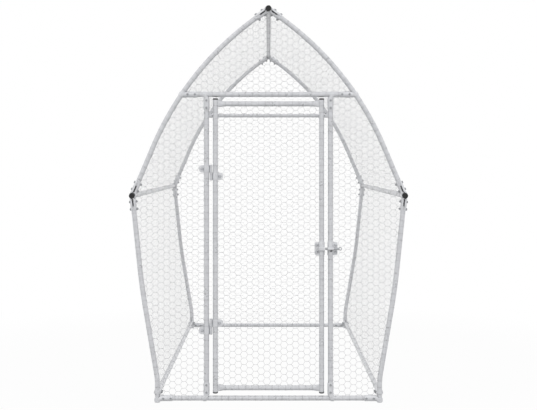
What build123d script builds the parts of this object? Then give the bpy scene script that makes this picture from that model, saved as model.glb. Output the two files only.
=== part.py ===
from build123d import *
import os
from math import atan2, ceil, cos, degrees, radians, sin, sqrt, tan

# Walk-in poultry run: two pointed tube hoops joined by rails, clad in hexagonal wire netting,
# with a hinged door. Millimetres, +Z up, the door faces -Y, and the origin is on the ground at the middle.

os.makedirs("parts", exist_ok=True)

# Driving dimensions: tubes and hoops
TUBE_D = 19.0
TUBE_WALL = 1.0
HOOP_SPACING = 1950.0
RAIL_OVERHANG = 21.0
RIDGE_HEIGHT = 1489.0
SHOULDER_HEIGHT = 782.0
SHOULDER_SPAN = 1030.0
ARCH_FOOT_TURN = 13.1
ARCH_TIP_TURN = 17.9
ARCH_STRAIGHT = 65.0
FOOT_SPAN = 841.0
KNEE_HEIGHT = 88.0
KNEE_RADIUS = 250.0
LEG_BOW_TURN = 3.7
LEG_BOW_RADIUS = 2500.0
FOOT_BORE_DEPTH = 60.0

# Driving dimensions: cross tubes and door
GABLE_HEIGHT = 324.0
BOTTOM_RAIL_HEIGHT = 16.0
SIDE_RAIL_RISE = 17.0
POST_SPAN = 469.0
DOOR_SIDE_GAP = 14.5
DOOR_TOP_GAP = 5.0
DOOR_BOTTOM_GAP = 8.5
DOOR_RAIL_INSET = 21.0
FLARE_HEIGHT = 25.0
FLARE_DEPTH = 8.0
FLARE_LENGTH = 27.0
FLARE_COPE_FIT = 0.1

# Driving dimensions: tee clamps
STRAP = 2.0
CLAMP_FIT = 0.25
LOOP_WIDTH = 13.0
LOOP_SPLIT = 0.5
NECK_LENGTH = 14.0
ARM_START = 13.0
ARM_END = 57.0
ARM_SLIT = 4.0
ARM_COPE_FIT = 0.3
TUBE_SETBACK = 40.0

# Driving dimensions: end caps
CAP_HEAD = 4.0
RAIL_CAP_D = 22.0

# Driving dimensions: netting, drawn with cells several times the woven size
NET_THICKNESS = 1.4
NET_SEAT = 0.3
NET_NOTCH_FIT = 0.5
NET_WEB = 3.0
NET_EDGE = 4.0
FRONT_CELL_WIDTH = 180.0
SIDE_CELL_WIDTH = 240.0
SMALLEST_GAP_SHARE = 0.02

# Driving dimensions: hinges
UPPER_HINGE_HEIGHT = 869.5
LOWER_HINGE_HEIGHT = 286.0
LEAF_HEIGHT = 28.0
LEAF_PLAY = 0.4
LEAF_STRAP = 2.0
LEAF_FIT = 0.1
EAR_LENGTH = 20.0
EAR_GAP = 3.0
EAR_CORNER = 6.0
KNUCKLE_D = 12.4
PIN_D = 6.0
PIN_CLEARANCE = 0.06
PIN_END = 1.5

# Driving dimensions: latch
LATCH_HEIGHT = 582.0
LATCH_PLATE = 50.0
LATCH_EAR = 17.0
BARREL_WALL = 1.6
GUIDE_FIT = 0.4
KEEPER_FIT = 1.5
BARREL_BITE = 1.2
ROD_D = 9.0
ROD_TIP_CHAMFER = 1.0
ROD_REST_GAP = 1.5
ROD_TRAVEL = 17.5
ROD_STOP_GAP = 0.5
ROD_EYE_D = 13.0
ROD_EYE_THICKNESS = 5.0
ROD_EYE_BORE = 6.0
ROD_EYE_BITE = 2.0

# Places that follow from the driving dimensions
TUBE_R = TUBE_D / 2
BORE_R = TUBE_R - TUBE_WALL
HOOP_Y = HOOP_SPACING / 2
RAIL_END = HOOP_Y + RAIL_OVERHANG
SHOULDER_X = SHOULDER_SPAN / 2
FOOT_X = FOOT_SPAN / 2
HEADER_HEIGHT = RIDGE_HEIGHT - GABLE_HEIGHT
SIDE_RAIL_HEIGHT = BOTTOM_RAIL_HEIGHT + SIDE_RAIL_RISE
POST_X = POST_SPAN / 2
STILE_X = POST_X - TUBE_D - DOOR_SIDE_GAP
HINGE_X = -(POST_X + STILE_X) / 2
DOOR_TOP = HEADER_HEIGHT - TUBE_R - DOOR_TOP_GAP
DOOR_BOTTOM = BOTTOM_RAIL_HEIGHT + TUBE_R + DOOR_BOTTOM_GAP
DOOR_TOP_RAIL = DOOR_TOP - DOOR_RAIL_INSET
DOOR_BOTTOM_RAIL = DOOR_BOTTOM + DOOR_RAIL_INSET
CLAMP_IN = TUBE_R + CLAMP_FIT
CLAMP_OUT = CLAMP_IN + STRAP
SIDES = {"left": -1, "right": 1}
ENDS = {"front": -1, "rear": 1}
FRONT_Y = ENDS["front"] * HOOP_Y


def direction(angle):
    """Unit vector in a hoop's plane, at an angle above the +X axis."""
    return Vector(cos(radians(angle)), sin(radians(angle)))


def meet(p, p_dir, q, q_dir):
    """Point where the line through p along p_dir meets the line through q along q_dir."""
    gap = q - p
    cross = p_dir.X * q_dir.Y - p_dir.Y * q_dir.X
    return p + p_dir * ((gap.X * q_dir.Y - gap.Y * q_dir.X) / cross)


def flip(point, side):
    """A point of the right half hoop, on the chosen side of the run."""
    return Vector(point.X * side, point.Y)


def in_run(point, y):
    """A point of a hoop's plane, placed in the run."""
    return Vector(point.X, y, point.Y)


def hoop_plane(y):
    """Plane across the run, with X across and Y upwards."""
    return Plane(origin=(0, y, 0), x_dir=(1, 0, 0), z_dir=(0, -1, 0))


# Right half of a hoop: the roof tube turns from a straight foot at the shoulder to a straight tip at the
# ridge, and the leg bows slightly from the shoulder to a knee above its upright foot
RIDGE = Vector(0, RIDGE_HEIGHT)
SHOULDER = Vector(SHOULDER_X, SHOULDER_HEIGHT)
KNEE = Vector(FOOT_X, KNEE_HEIGHT)
ROOF_ANGLE = degrees(atan2(RIDGE_HEIGHT - SHOULDER_HEIGHT, SHOULDER_X))
LEG_LEAN = degrees(atan2(SHOULDER_X - FOOT_X, SHOULDER_HEIGHT - KNEE_HEIGHT))
ARCH_UP = direction(180 - ROOF_ANGLE - ARCH_FOOT_TURN)
TIP_DOWN = direction(ARCH_TIP_TURN - ROOF_ANGLE)
LEG_DOWN = direction(-90 - LEG_LEAN + LEG_BOW_TURN / 2)
CROWN = meet(SHOULDER, ARCH_UP, RIDGE, TIP_DOWN)
BOW = meet(SHOULDER, LEG_DOWN, KNEE, direction(90 - LEG_LEAN - LEG_BOW_TURN / 2))
HALF_TURN = tan(radians(ARCH_FOOT_TURN + ARCH_TIP_TURN) / 2)
ARCH_RADIUS = (min((CROWN - RIDGE).length, (CROWN - SHOULDER).length) - ARCH_STRAIGHT) / HALF_TURN
ARCH_CENTRE = CROWN - ARCH_UP * (ARCH_RADIUS * HALF_TURN) + Vector(-ARCH_UP.Y, ARCH_UP.X) * ARCH_RADIUS
LEG_RADII = [LEG_BOW_RADIUS, KNEE_RADIUS]

# Where the header meets the long bend of the roof tubes, and how far the tube leans from upright there
LINTEL = Vector(ARCH_CENTRE.X + sqrt(ARCH_RADIUS**2 - (HEADER_HEIGHT - ARCH_CENTRE.Y) ** 2), HEADER_HEIGHT)
LINTEL_LEAN = degrees(atan2(LINTEL.Y - ARCH_CENTRE.Y, LINTEL.X - ARCH_CENTRE.X))


def arch_points(side, foot_trim, tip_trim):
    """Corners of a roof tube's line, from its foot to its tip."""
    corners = (SHOULDER + ARCH_UP * foot_trim, CROWN, RIDGE + TIP_DOWN * tip_trim)
    return [flip(corner, side) for corner in corners]


def leg_points(side, top_trim, foot_height):
    """Corners of a leg's line, from its top to its foot."""
    corners = (SHOULDER + LEG_DOWN * top_trim, BOW, KNEE, Vector(FOOT_X, foot_height))
    return [flip(corner, side) for corner in corners]


def save(builder, name):
    """Label a finished piece and write it."""
    builder.part.label = name
    export_step(builder.part, f"parts/{name}.step")


def straight_tube(start, end):
    """A closed-ended tube between two points, added to the piece being built."""
    along = Vector(end) - Vector(start)
    with BuildSketch(Plane(origin=start, z_dir=along)) as section:
        Circle(TUBE_R)
    extrude(section.sketch, amount=along.length)


def bent_tube(corners, radii, y):
    """A tube bent in a hoop's plane, added to the piece being built."""
    with BuildLine(hoop_plane(y)) as line:
        FilletPolyline(*[tuple(corner) for corner in corners], radius=radii)
    with BuildSketch(Plane(origin=line.line @ 0, z_dir=line.line % 0)) as section:
        Circle(TUBE_R)
    sweep(section.sketch, path=line.line)


# Roof tubes and legs of the two hoops, each pair on one side of the run, with the legs' feet left open
for side_name, side in SIDES.items():
    with BuildPart() as arches:
        for end in ENDS.values():
            bent_tube(arch_points(side, TUBE_SETBACK, TUBE_SETBACK), ARCH_RADIUS, end * HOOP_Y)
    save(arches, f"{side_name}_roof_tubes")
    with BuildPart() as legs:
        for end in ENDS.values():
            bent_tube(leg_points(side, TUBE_SETBACK, 0), LEG_RADII, end * HOOP_Y)
        with BuildSketch():
            with Locations((side * FOOT_X, -HOOP_Y), (side * FOOT_X, HOOP_Y)):
                Circle(BORE_R)
        extrude(amount=FOOT_BORE_DEPTH, mode=Mode.SUBTRACT)
    save(legs, f"{side_name}_legs")

# Ridge and shoulder rails, which run past the hoops and end in caps
RAIL_AXES = {"ridge": RIDGE, "left_shoulder": flip(SHOULDER, -1), "right_shoulder": SHOULDER}
for rail_name, axis in RAIL_AXES.items():
    with BuildPart() as rail:
        straight_tube(in_run(axis, -RAIL_END), in_run(axis, RAIL_END))
    save(rail, f"{rail_name}_rail")

# Side bottom rails, between the legs of the two hoops
for side_name, side in SIDES.items():
    with BuildPart() as side_rail:
        reach = HOOP_Y - TUBE_SETBACK
        straight_tube((side * FOOT_X, -reach, SIDE_RAIL_HEIGHT), (side * FOOT_X, reach, SIDE_RAIL_HEIGHT))
    save(side_rail, f"{side_name}_bottom_rail")

# Header and bottom rail of each hoop, and the posts at both sides of the doorway
for end_name, end in ENDS.items():
    with BuildPart() as header:
        reach = LINTEL.X - TUBE_SETBACK
        straight_tube((-reach, end * HOOP_Y, HEADER_HEIGHT), (reach, end * HOOP_Y, HEADER_HEIGHT))
    save(header, f"{end_name}_header")
    with BuildPart() as bottom_rail:
        reach = FOOT_X - TUBE_SETBACK
        straight_tube((-reach, end * HOOP_Y, BOTTOM_RAIL_HEIGHT), (reach, end * HOOP_Y, BOTTOM_RAIL_HEIGHT))
    save(bottom_rail, f"{end_name}_bottom_rail")
for side_name, side in SIDES.items():
    with BuildPart() as post:
        low = BOTTOM_RAIL_HEIGHT + TUBE_SETBACK
        high = HEADER_HEIGHT - TUBE_SETBACK
        straight_tube((side * POST_X, FRONT_Y, low), (side * POST_X, FRONT_Y, high))
    save(post, f"{side_name}_door_post")


def folded_strap():
    """Section of a strap folded round a tube in eight flats, added to the sketch being drawn."""
    RegularPolygon(CLAMP_OUT, 8, major_radius=False, rotation=22.5)
    RegularPolygon(CLAMP_IN, 8, major_radius=False, rotation=22.5, mode=Mode.SUBTRACT)


def strap_loop(across, band):
    """Half of a folded strap round a through tube, trimmed to the loop's width along local Y."""
    with BuildPart() as loop:
        with BuildSketch(across):
            folded_strap()
            with Locations((CLAMP_OUT / 2, 0)):
                Rectangle(CLAMP_OUT, 2 * CLAMP_OUT, mode=Mode.SUBTRACT)
        extrude(amount=2 * (LOOP_WIDTH + NECK_LENGTH), both=True)
        with BuildSketch():
            with Locations((0, band)):
                Rectangle(4 * NECK_LENGTH, LOOP_WIDTH)
        extrude(amount=CLAMP_OUT, both=True, mode=Mode.INTERSECT)
    return loop.part


def tee_clamp(band, lean):
    """A strap clamp: its loop holds a through tube and its two half shells hold the end of a tube on local X.

    The through tube lies in local XY and leans from Y towards X. Band is the middle of the loop along Y,
    so that two clamps can sit side by side on one tube.
    """
    low = band - LOOP_WIDTH / 2
    high = band + LOOP_WIDTH / 2
    slant = tan(radians(lean))
    axis = Vector(sin(radians(lean)), cos(radians(lean)))
    across = Plane(origin=(0, 0, 0), x_dir=(axis.Y, -axis.X, 0), z_dir=axis)
    with BuildPart() as clamp:
        with BuildSketch(Plane.YZ.offset(ARM_START)):
            folded_strap()
            Rectangle(2 * CLAMP_OUT, ARM_SLIT, mode=Mode.SUBTRACT)
        extrude(amount=ARM_END - ARM_START)
        with BuildSketch(across):
            Circle(TUBE_R + ARM_COPE_FIT)
        extrude(amount=ARM_END, both=True, mode=Mode.SUBTRACT)
        with BuildSketch(Plane.XY.offset(CLAMP_IN), Plane.XY.offset(-CLAMP_OUT)):
            with BuildLine():
                neck = Polyline((low * slant, low), (NECK_LENGTH, low), (NECK_LENGTH, high))
                Polyline(neck @ 1, (high * slant, high), neck @ 0)
            make_face()
        extrude(amount=STRAP)
        add(strap_loop(across, band))
    return clamp.part


SIDE_BAND = (LOOP_SPLIT + LOOP_WIDTH) / 2
UPRIGHT_CLAMPS = {1: tee_clamp(SIDE_BAND, 0), -1: tee_clamp(-SIDE_BAND, 0)}
LEANING_CLAMPS = {1: tee_clamp(0, LINTEL_LEAN), -1: tee_clamp(0, -LINTEL_LEAN)}
clamp_groups = {}


def put_clamp(group, shapes, centre, arm, outward, loop_side):
    """Place one clamp of a group, with its loop on the chosen side and its bolts facing outward."""
    place = Plane(origin=centre, x_dir=arm, z_dir=outward)
    hand = 1 if place.y_dir.dot(Vector(loop_side)) > 0 else -1
    clamp_groups.setdefault(group, []).append(place.location * shapes[hand])


# Tee clamps: pairs share a tube at the ridge, the shoulders and the feet, with their loops side by side
for end in ENDS.values():
    y = end * HOOP_Y
    facing = Vector(0, end, 0)
    for side in SIDES.values():
        inward = Vector(-side, 0, 0)
        arm, outward = flip(TIP_DOWN, side), flip(Vector(-TIP_DOWN.Y, TIP_DOWN.X), side)
        ridge_args = (in_run(RIDGE, y), in_run(arm, 0), in_run(outward, 0), (0, side, 0))
        put_clamp("ridge", UPRIGHT_CLAMPS, *ridge_args)
        shoulder = in_run(flip(SHOULDER, side), y)
        arm, outward = flip(ARCH_UP, side), flip(Vector(ARCH_UP.Y, -ARCH_UP.X), side)
        put_clamp("arch_foot", UPRIGHT_CLAMPS, shoulder, in_run(arm, 0), in_run(outward, 0), facing)
        arm, outward = flip(LEG_DOWN, side), flip(Vector(-LEG_DOWN.Y, LEG_DOWN.X), side)
        put_clamp("leg_top", UPRIGHT_CLAMPS, shoulder, in_run(arm, 0), in_run(outward, 0), -facing)
        put_clamp("header", LEANING_CLAMPS, in_run(flip(LINTEL, side), y), inward, facing, (0, 0, 1))
        foot = Vector(side * FOOT_X, y, BOTTOM_RAIL_HEIGHT)
        put_clamp("bottom_rail", UPRIGHT_CLAMPS, foot, inward, facing, (0, 0, -1))
        foot = Vector(side * FOOT_X, y, SIDE_RAIL_HEIGHT)
        put_clamp("side_rail", UPRIGHT_CLAMPS, foot, -facing, -inward, (0, 0, 1))
for side in SIDES.values():
    for height, arm in ((HEADER_HEIGHT, (0, 0, -1)), (BOTTOM_RAIL_HEIGHT, (0, 0, 1))):
        put_clamp("post", UPRIGHT_CLAMPS, (side * POST_X, FRONT_Y, height), arm, (0, -1, 0), (side, 0, 0))
for group, clamps in clamp_groups.items():
    with BuildPart() as clamp_group:
        add(clamps)
    save(clamp_group, f"{group}_clamps")


# Black end caps of the ridge and shoulder rails
with BuildPart() as rail_caps:
    for axis in RAIL_AXES.values():
        for end in ENDS.values():
            with BuildSketch(Plane(origin=in_run(axis, end * RAIL_END), z_dir=(0, end, 0))):
                Circle(RAIL_CAP_D / 2)
            extrude(amount=CAP_HEAD)
save(rail_caps, "rail_end_caps")


def honeycomb(width, height, cell):
    """Centres of flat-topped hexagonal cells that cover a rectangle about the local origin."""
    pitch = cell * sqrt(3) / 2
    columns = ceil(width / 2 / pitch) + 1
    rows = ceil(height / 2 / cell) + 1
    centres = []
    for column in range(-columns, columns + 1):
        for row in range(-rows, rows + 1):
            centres.append((pitch * column, cell * (row + (column % 2) / 2)))
    return centres


SEAT_R = TUBE_R + NET_SEAT
ARM_ROOM = CLAMP_OUT + NET_NOTCH_FIT
ARM_REACH = ARM_END + NET_NOTCH_FIT
LOOP_ROOM = LOOP_SPLIT / 2 + LOOP_WIDTH + NET_NOTCH_FIT


def net_gaps(room, cell):
    """Openings of a honeycomb net, cut short where they would leave the room that they have."""
    box = room.bounding_box()
    with BuildSketch() as gaps:
        with Locations((box.center().X, box.center().Y)):
            with Locations(*honeycomb(box.size.X, box.size.Y, cell)):
                RegularPolygon((cell - NET_WEB) / 2, 6, major_radius=False)
        add(room, mode=Mode.INTERSECT)
    return [face for face in gaps.sketch.faces() if face.area > SMALLEST_GAP_SHARE * cell**2]


def flat_net(region, cell, y):
    """A net across the run at y, added to the piece being built. Region draws its outline, less a margin."""
    with BuildSketch(hoop_plane(y)) as web:
        add(region(0))
        add(net_gaps(region(NET_EDGE), cell), mode=Mode.SUBTRACT)
    extrude(web.sketch, amount=NET_THICKNESS / 2, both=True)


def cut_box(x0, z0, x1, z1):
    """Take a rectangle with these opposite corners from the sketch being drawn."""
    with Locations(((x0 + x1) / 2, (z0 + z1) / 2)):
        Rectangle(abs(x1 - x0), abs(z1 - z0), mode=Mode.SUBTRACT)


def cut_arm(centre, arm, margin):
    """Leave room for a clamp arm that lies in the net's plane."""
    reach = ARM_REACH + margin
    middle = centre + arm * (reach / 2)
    with Locations((middle.X, middle.Y)):
        Rectangle(reach, 2 * (ARM_ROOM + margin), rotation=degrees(atan2(arm.Y, arm.X)), mode=Mode.SUBTRACT)


def cut_ear(tube_x, away, ear, height, size, margin):
    """Leave room beside a tube for the ears of a hinge leaf or latch plate."""
    rise = size / 2 + NET_NOTCH_FIT + margin
    cut_box(tube_x, height - rise, tube_x + away * (TUBE_R + ear + NET_NOTCH_FIT + margin), height + rise)


def cut_post_clamps(margin):
    """Leave room for the clamps on the door posts, and for the loops of the upper ones above the header."""
    for side in SIDES.values():
        cut_arm(Vector(side * POST_X, HEADER_HEIGHT), Vector(0, -1), margin)
        cut_arm(Vector(side * POST_X, BOTTOM_RAIL_HEIGHT), Vector(0, 1), margin)
        half = LOOP_ROOM + margin
        top = HEADER_HEIGHT + ARM_ROOM + margin
        cut_box(side * POST_X - half, HEADER_HEIGHT, side * POST_X + half, top)


def hoop_room(margin):
    """Room inside a hoop for netting, up to its seats on the tubes and clear of the clamps."""
    with BuildSketch() as room:
        with BuildLine():
            for side in SIDES.values():
                FilletPolyline(*arch_points(side, 0, 0), radius=ARCH_RADIUS)
                FilletPolyline(*leg_points(side, 0, 0), radius=LEG_RADII)
            Line((-FOOT_X, 0), (FOOT_X, 0))
        make_face()
        offset(amount=-SEAT_R - margin, kind=Kind.INTERSECTION, mode=Mode.REPLACE)
        for side in SIDES.values():
            cut_arm(RIDGE, flip(TIP_DOWN, side), margin)
            cut_arm(flip(SHOULDER, side), flip(ARCH_UP, side), margin)
            cut_arm(flip(SHOULDER, side), flip(LEG_DOWN, side), margin)
            cut_arm(flip(LINTEL, side), Vector(-side, 0), margin)
            cut_arm(Vector(side * FOOT_X, BOTTOM_RAIL_HEIGHT), Vector(-side, 0), margin)
            cut_arm(Vector(side * FOOT_X, BOTTOM_RAIL_HEIGHT), Vector(0, 1), margin)
    return room.sketch


def gable(margin):
    """Room above a header. The front one is also clear of the posts' clamps."""
    with BuildSketch() as room:
        add(hoop_room(margin))
        cut_box(-SHOULDER_SPAN, 0, SHOULDER_SPAN, HEADER_HEIGHT + SEAT_R + margin)
        cut_post_clamps(margin)
    return room.sketch


def wall(margin):
    """Room between a header and the bottom rail below it."""
    with BuildSketch() as room:
        add(hoop_room(margin))
        cut_box(-SHOULDER_SPAN, HEADER_HEIGHT - SEAT_R - margin, SHOULDER_SPAN, RIDGE_HEIGHT)
        cut_box(-SHOULDER_SPAN, 0, SHOULDER_SPAN, BOTTOM_RAIL_HEIGHT + SEAT_R + margin)
    return room.sketch


def left_strip(margin):
    """Room left of the doorway, clear of the hinges on its post."""
    with BuildSketch() as room:
        add(wall(margin))
        cut_box(-POST_X - SEAT_R - margin, 0, SHOULDER_SPAN, RIDGE_HEIGHT)
        cut_post_clamps(margin)
        for hinge_name in ("upper", "lower"):
            cut_ear(-POST_X, -1, EAR_LENGTH, LEAF_MIDDLES[hinge_name, "post"], LEAF_HEIGHT, margin)
    return room.sketch


def right_strip(margin):
    """Room right of the doorway, clear of the latch on its post."""
    with BuildSketch() as room:
        add(wall(margin))
        cut_box(-SHOULDER_SPAN, 0, POST_X + SEAT_R + margin, RIDGE_HEIGHT)
        cut_post_clamps(margin)
        cut_ear(POST_X, 1, LATCH_EAR, LATCH_HEIGHT, LATCH_PLATE, margin)
    return room.sketch


def door_panel(margin):
    """Room inside the door's frame, clear of its hinges and its latch."""
    low = DOOR_BOTTOM_RAIL + FLARE_HEIGHT / 2 + NET_SEAT + margin
    high = DOOR_TOP_RAIL - FLARE_HEIGHT / 2 - NET_SEAT - margin
    with BuildSketch() as room:
        with Locations((0, (low + high) / 2)):
            Rectangle(2 * (STILE_X - SEAT_R - margin), high - low)
        for hinge_name in ("upper", "lower"):
            cut_ear(-STILE_X, 1, EAR_LENGTH, LEAF_MIDDLES[hinge_name, "door"], LEAF_HEIGHT, margin)
        cut_ear(STILE_X, -1, LATCH_EAR, LATCH_HEIGHT, LATCH_PLATE, margin)
    return room.sketch


# Heights of the hinge leaves: the post's leaf is the higher one at the upper hinge, the door's at the lower
LEAF_RISE = (LEAF_HEIGHT + LEAF_PLAY) / 2
LEAF_MIDDLES = {
    ("upper", "post"): UPPER_HINGE_HEIGHT + LEAF_RISE,
    ("upper", "door"): UPPER_HINGE_HEIGHT - LEAF_RISE,
    ("lower", "post"): LOWER_HINGE_HEIGHT - LEAF_RISE,
    ("lower", "door"): LOWER_HINGE_HEIGHT + LEAF_RISE,
}

# Netting across the run: two gables, the rear wall, a strip at each side of the doorway, and the door
FLAT_NETS = {
    "front_gable_net": (gable, FRONT_CELL_WIDTH, FRONT_Y),
    "rear_gable_net": (gable, FRONT_CELL_WIDTH, -FRONT_Y),
    "rear_wall_net": (wall, SIDE_CELL_WIDTH, -FRONT_Y),
    "front_left_net": (left_strip, FRONT_CELL_WIDTH, FRONT_Y),
    "front_right_net": (right_strip, FRONT_CELL_WIDTH, FRONT_Y),
    "door_net": (door_panel, FRONT_CELL_WIDTH, FRONT_Y),
}
for net_name, (region, cell, y) in FLAT_NETS.items():
    with BuildPart() as net:
        flat_net(region, cell, y)
    save(net, net_name)

NET_REACH = HOOP_Y - SEAT_R
NOTCH_DEPTH = ARM_ROOM - SEAT_R
LOOP_NOTCH = LOOP_WIDTH / 2 / cos(radians(LINTEL_LEAN)) + 2 * NET_NOTCH_FIT


def strung_region(length, loops, margin):
    """Room for a net between the hoops, with notches for clamp arms in its corners and loops at its ends."""
    reach = NET_REACH - margin
    half = length / 2 - margin
    with BuildSketch() as room:
        Rectangle(2 * reach, 2 * half)
        for y in (-reach, reach):
            with Locations((y, -half), (y, half)):
                Rectangle(2 * NOTCH_DEPTH, 2 * ARM_REACH, mode=Mode.SUBTRACT)
                Rectangle(2 * ARM_REACH, 2 * NOTCH_DEPTH, mode=Mode.SUBTRACT)
            for loop in loops:
                with Locations((y, loop)):
                    Rectangle(2 * NOTCH_DEPTH, 2 * (LOOP_NOTCH + margin), mode=Mode.SUBTRACT)
    return room.sketch


def strung_plane(low, high):
    """Plane through two points of the hoops, with X along the run and Y from the low point to the high."""
    along = Vector(0, 1, 0)
    return Plane(in_run((low + high) / 2, 0), x_dir=along, z_dir=along.cross(in_run(high - low, 0)))


# Netting of the sides, stretched flat from the shoulder rails to the side bottom rails
for side_name, side in SIDES.items():
    rail = Vector(side * FOOT_X, SIDE_RAIL_HEIGHT)
    height = (flip(SHOULDER, side) - rail).length - 2 * SEAT_R
    with BuildPart() as side_net:
        with BuildSketch(strung_plane(rail, flip(SHOULDER, side))):
            add(strung_region(height, [], 0))
            add(net_gaps(strung_region(height, [], NET_EDGE), SIDE_CELL_WIDTH), mode=Mode.SUBTRACT)
        extrude(amount=NET_THICKNESS / 2, both=True)
    save(side_net, f"{side_name}_side_net")

# Netting of the roof, bent with the roof tubes from the shoulder rails to the ridge rail
for side_name, side in SIDES.items():
    corners = arch_points(side, SEAT_R, SEAT_R)
    chord = corners[-1] - corners[0]
    lintel_place = (flip(LINTEL, side) - (corners[0] + corners[-1]) / 2).dot(chord.normalized())
    with BuildPart() as roof_net:
        with BuildSketch(hoop_plane(0)):
            with BuildLine():
                FilletPolyline(*corners, radius=ARCH_RADIUS)
            trace(line_width=NET_THICKNESS)
        extrude(amount=NET_REACH, both=True)
        with BuildSketch(strung_plane(corners[0], corners[-1])):
            Rectangle(2 * NET_REACH, chord.length + 2 * NET_THICKNESS)
            add(strung_region(chord.length, [lintel_place], 0), mode=Mode.SUBTRACT)
            add(net_gaps(strung_region(chord.length, [lintel_place], NET_EDGE), SIDE_CELL_WIDTH))
        extrude(amount=chord.length / 2, both=True, mode=Mode.SUBTRACT)
    save(roof_net, f"{side_name}_roof_net")

# Door frame: two capped stiles
for side_name, side in {"hinge": -1, "latch": 1}.items():
    with BuildPart() as stile:
        low = DOOR_BOTTOM + CAP_HEAD
        high = DOOR_TOP - CAP_HEAD
        straight_tube((side * STILE_X, FRONT_Y, low), (side * STILE_X, FRONT_Y, high))
    save(stile, f"door_{side_name}_stile")
with BuildPart() as stile_caps:
    with BuildSketch(Plane.XY.offset(DOOR_BOTTOM), Plane.XY.offset(DOOR_TOP - CAP_HEAD)):
        with Locations((-STILE_X, FRONT_Y), (STILE_X, FRONT_Y)):
            Circle(TUBE_R)
    extrude(amount=CAP_HEAD)
save(stile_caps, "door_stile_caps")


def flattened_end():
    """The end of a door rail along local Z, pressed from round to a flat fish-tail that is tall along X."""
    flare_tip = FLARE_LENGTH + TUBE_R
    with BuildPart() as flare:
        with BuildSketch(Plane.XZ):
            with BuildLine():
                rim = Polyline((0, 0), (TUBE_R, 0), (FLARE_HEIGHT / 2, FLARE_LENGTH))
                Polyline(rim @ 1, (FLARE_HEIGHT / 2, flare_tip), (0, flare_tip), rim @ 0)
            make_face()
        revolve(axis=Axis.Z)
        with BuildSketch(Plane.YZ):
            with BuildLine():
                Polyline((-TUBE_R, 0), (-FLARE_DEPTH / 2, FLARE_LENGTH), (-FLARE_DEPTH / 2, flare_tip))
                Polyline((TUBE_R, 0), (FLARE_DEPTH / 2, FLARE_LENGTH), (FLARE_DEPTH / 2, flare_tip))
                Line((-TUBE_R, 0), (TUBE_R, 0))
                Line((-FLARE_DEPTH / 2, flare_tip), (FLARE_DEPTH / 2, flare_tip))
            make_face()
        extrude(amount=FLARE_HEIGHT, both=True, mode=Mode.INTERSECT)
    return flare.part


# Top and bottom rails of the door, whose flattened ends are coped round the stiles
for rail_name, height in {"top": DOOR_TOP_RAIL, "bottom": DOOR_BOTTOM_RAIL}.items():
    with BuildPart() as door_rail:
        flare_x = STILE_X - TUBE_R - FLARE_LENGTH
        straight_tube((-flare_x, FRONT_Y, height), (flare_x, FRONT_Y, height))
        for side in SIDES.values():
            root = Plane(origin=(side * flare_x, FRONT_Y, height), x_dir=(0, 0, 1), z_dir=(side, 0, 0))
            with Locations(root):
                add(flattened_end())
        with BuildSketch(Plane.XY.offset(height)):
            with Locations((-STILE_X, FRONT_Y), (STILE_X, FRONT_Y)):
                Circle(TUBE_R + FLARE_COPE_FIT)
        extrude(amount=FLARE_HEIGHT, both=True, mode=Mode.SUBTRACT)
    save(door_rail, f"door_{rail_name}_rail")

STRAP_IN = TUBE_R + LEAF_FIT
STRAP_OUT = STRAP_IN + LEAF_STRAP


def tube_strap(tube_x, away, ear, middle, height):
    """A strap folded round an upright tube, with two ears on one side, added to the piece being built."""
    tube = Plane((tube_x, FRONT_Y, middle))
    ear_middle = away * (TUBE_R + ear) / 2
    with BuildSketch(hoop_plane(FRONT_Y)) as ears:
        with Locations((tube_x + ear_middle, middle)):
            Rectangle(TUBE_R + ear, height)
        chamfer(ears.vertices().group_by(Axis.X)[-1 if away > 0 else 0], EAR_CORNER)
    extrude(ears.sketch, amount=EAR_GAP / 2 + LEAF_STRAP, both=True)
    with BuildSketch(tube) as fold:
        RegularPolygon(STRAP_OUT, 8, major_radius=False, rotation=22.5)
    extrude(fold.sketch, amount=height / 2, both=True)
    with BuildSketch(tube) as hollow:
        RegularPolygon(STRAP_IN, 8, major_radius=False, rotation=22.5)
        with Locations((ear_middle, 0)):
            Rectangle(TUBE_R + ear, EAR_GAP)
    extrude(hollow.sketch, amount=height / 2, both=True, mode=Mode.SUBTRACT)


# Hinges: a strap leaf on the post and one on the door stile, with knuckles on a common pin
for (hinge_name, owner), middle in LEAF_MIDDLES.items():
    tube_x, away = (-POST_X, -1) if owner == "post" else (-STILE_X, 1)
    with BuildPart() as leaf:
        with BuildSketch(Plane((HINGE_X, FRONT_Y, middle))):
            Circle(KNUCKLE_D / 2)
        extrude(amount=LEAF_HEIGHT / 2, both=True)
        tube_strap(tube_x, away, EAR_LENGTH, middle, LEAF_HEIGHT)
        with BuildSketch(Plane((HINGE_X, FRONT_Y, middle))):
            Circle(PIN_D / 2 + PIN_CLEARANCE)
        extrude(amount=LEAF_HEIGHT / 2, both=True, mode=Mode.SUBTRACT)
    save(leaf, f"{hinge_name}_hinge_{owner}_leaf")
for hinge_name, height in {"upper": UPPER_HINGE_HEIGHT, "lower": LOWER_HINGE_HEIGHT}.items():
    with BuildPart() as pin:
        with BuildSketch(Plane((HINGE_X, FRONT_Y, height))):
            Circle(PIN_D / 2)
        extrude(amount=LEAF_HEIGHT + LEAF_PLAY / 2 + PIN_END, both=True)
    save(pin, f"{hinge_name}_hinge_pin")

# Latch: a guide on the right post and a keeper on the door, each a strap with a way for the bolt in front
ROD_R = ROD_D / 2
ROD_Y = FRONT_Y - STRAP_OUT - ROD_R - GUIDE_FIT - BARREL_WALL + BARREL_BITE
ROD_TIP = STILE_X + STRAP_OUT + ROD_REST_GAP
EYE_X = POST_X + STRAP_OUT + ROD_TRAVEL + ROD_STOP_GAP + ROD_EYE_D / 2


def rod_plane(x):
    """Plane across the sliding bolt at x."""
    return Plane(origin=(x, ROD_Y, LATCH_HEIGHT), x_dir=(0, 1, 0), z_dir=(1, 0, 0))


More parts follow.
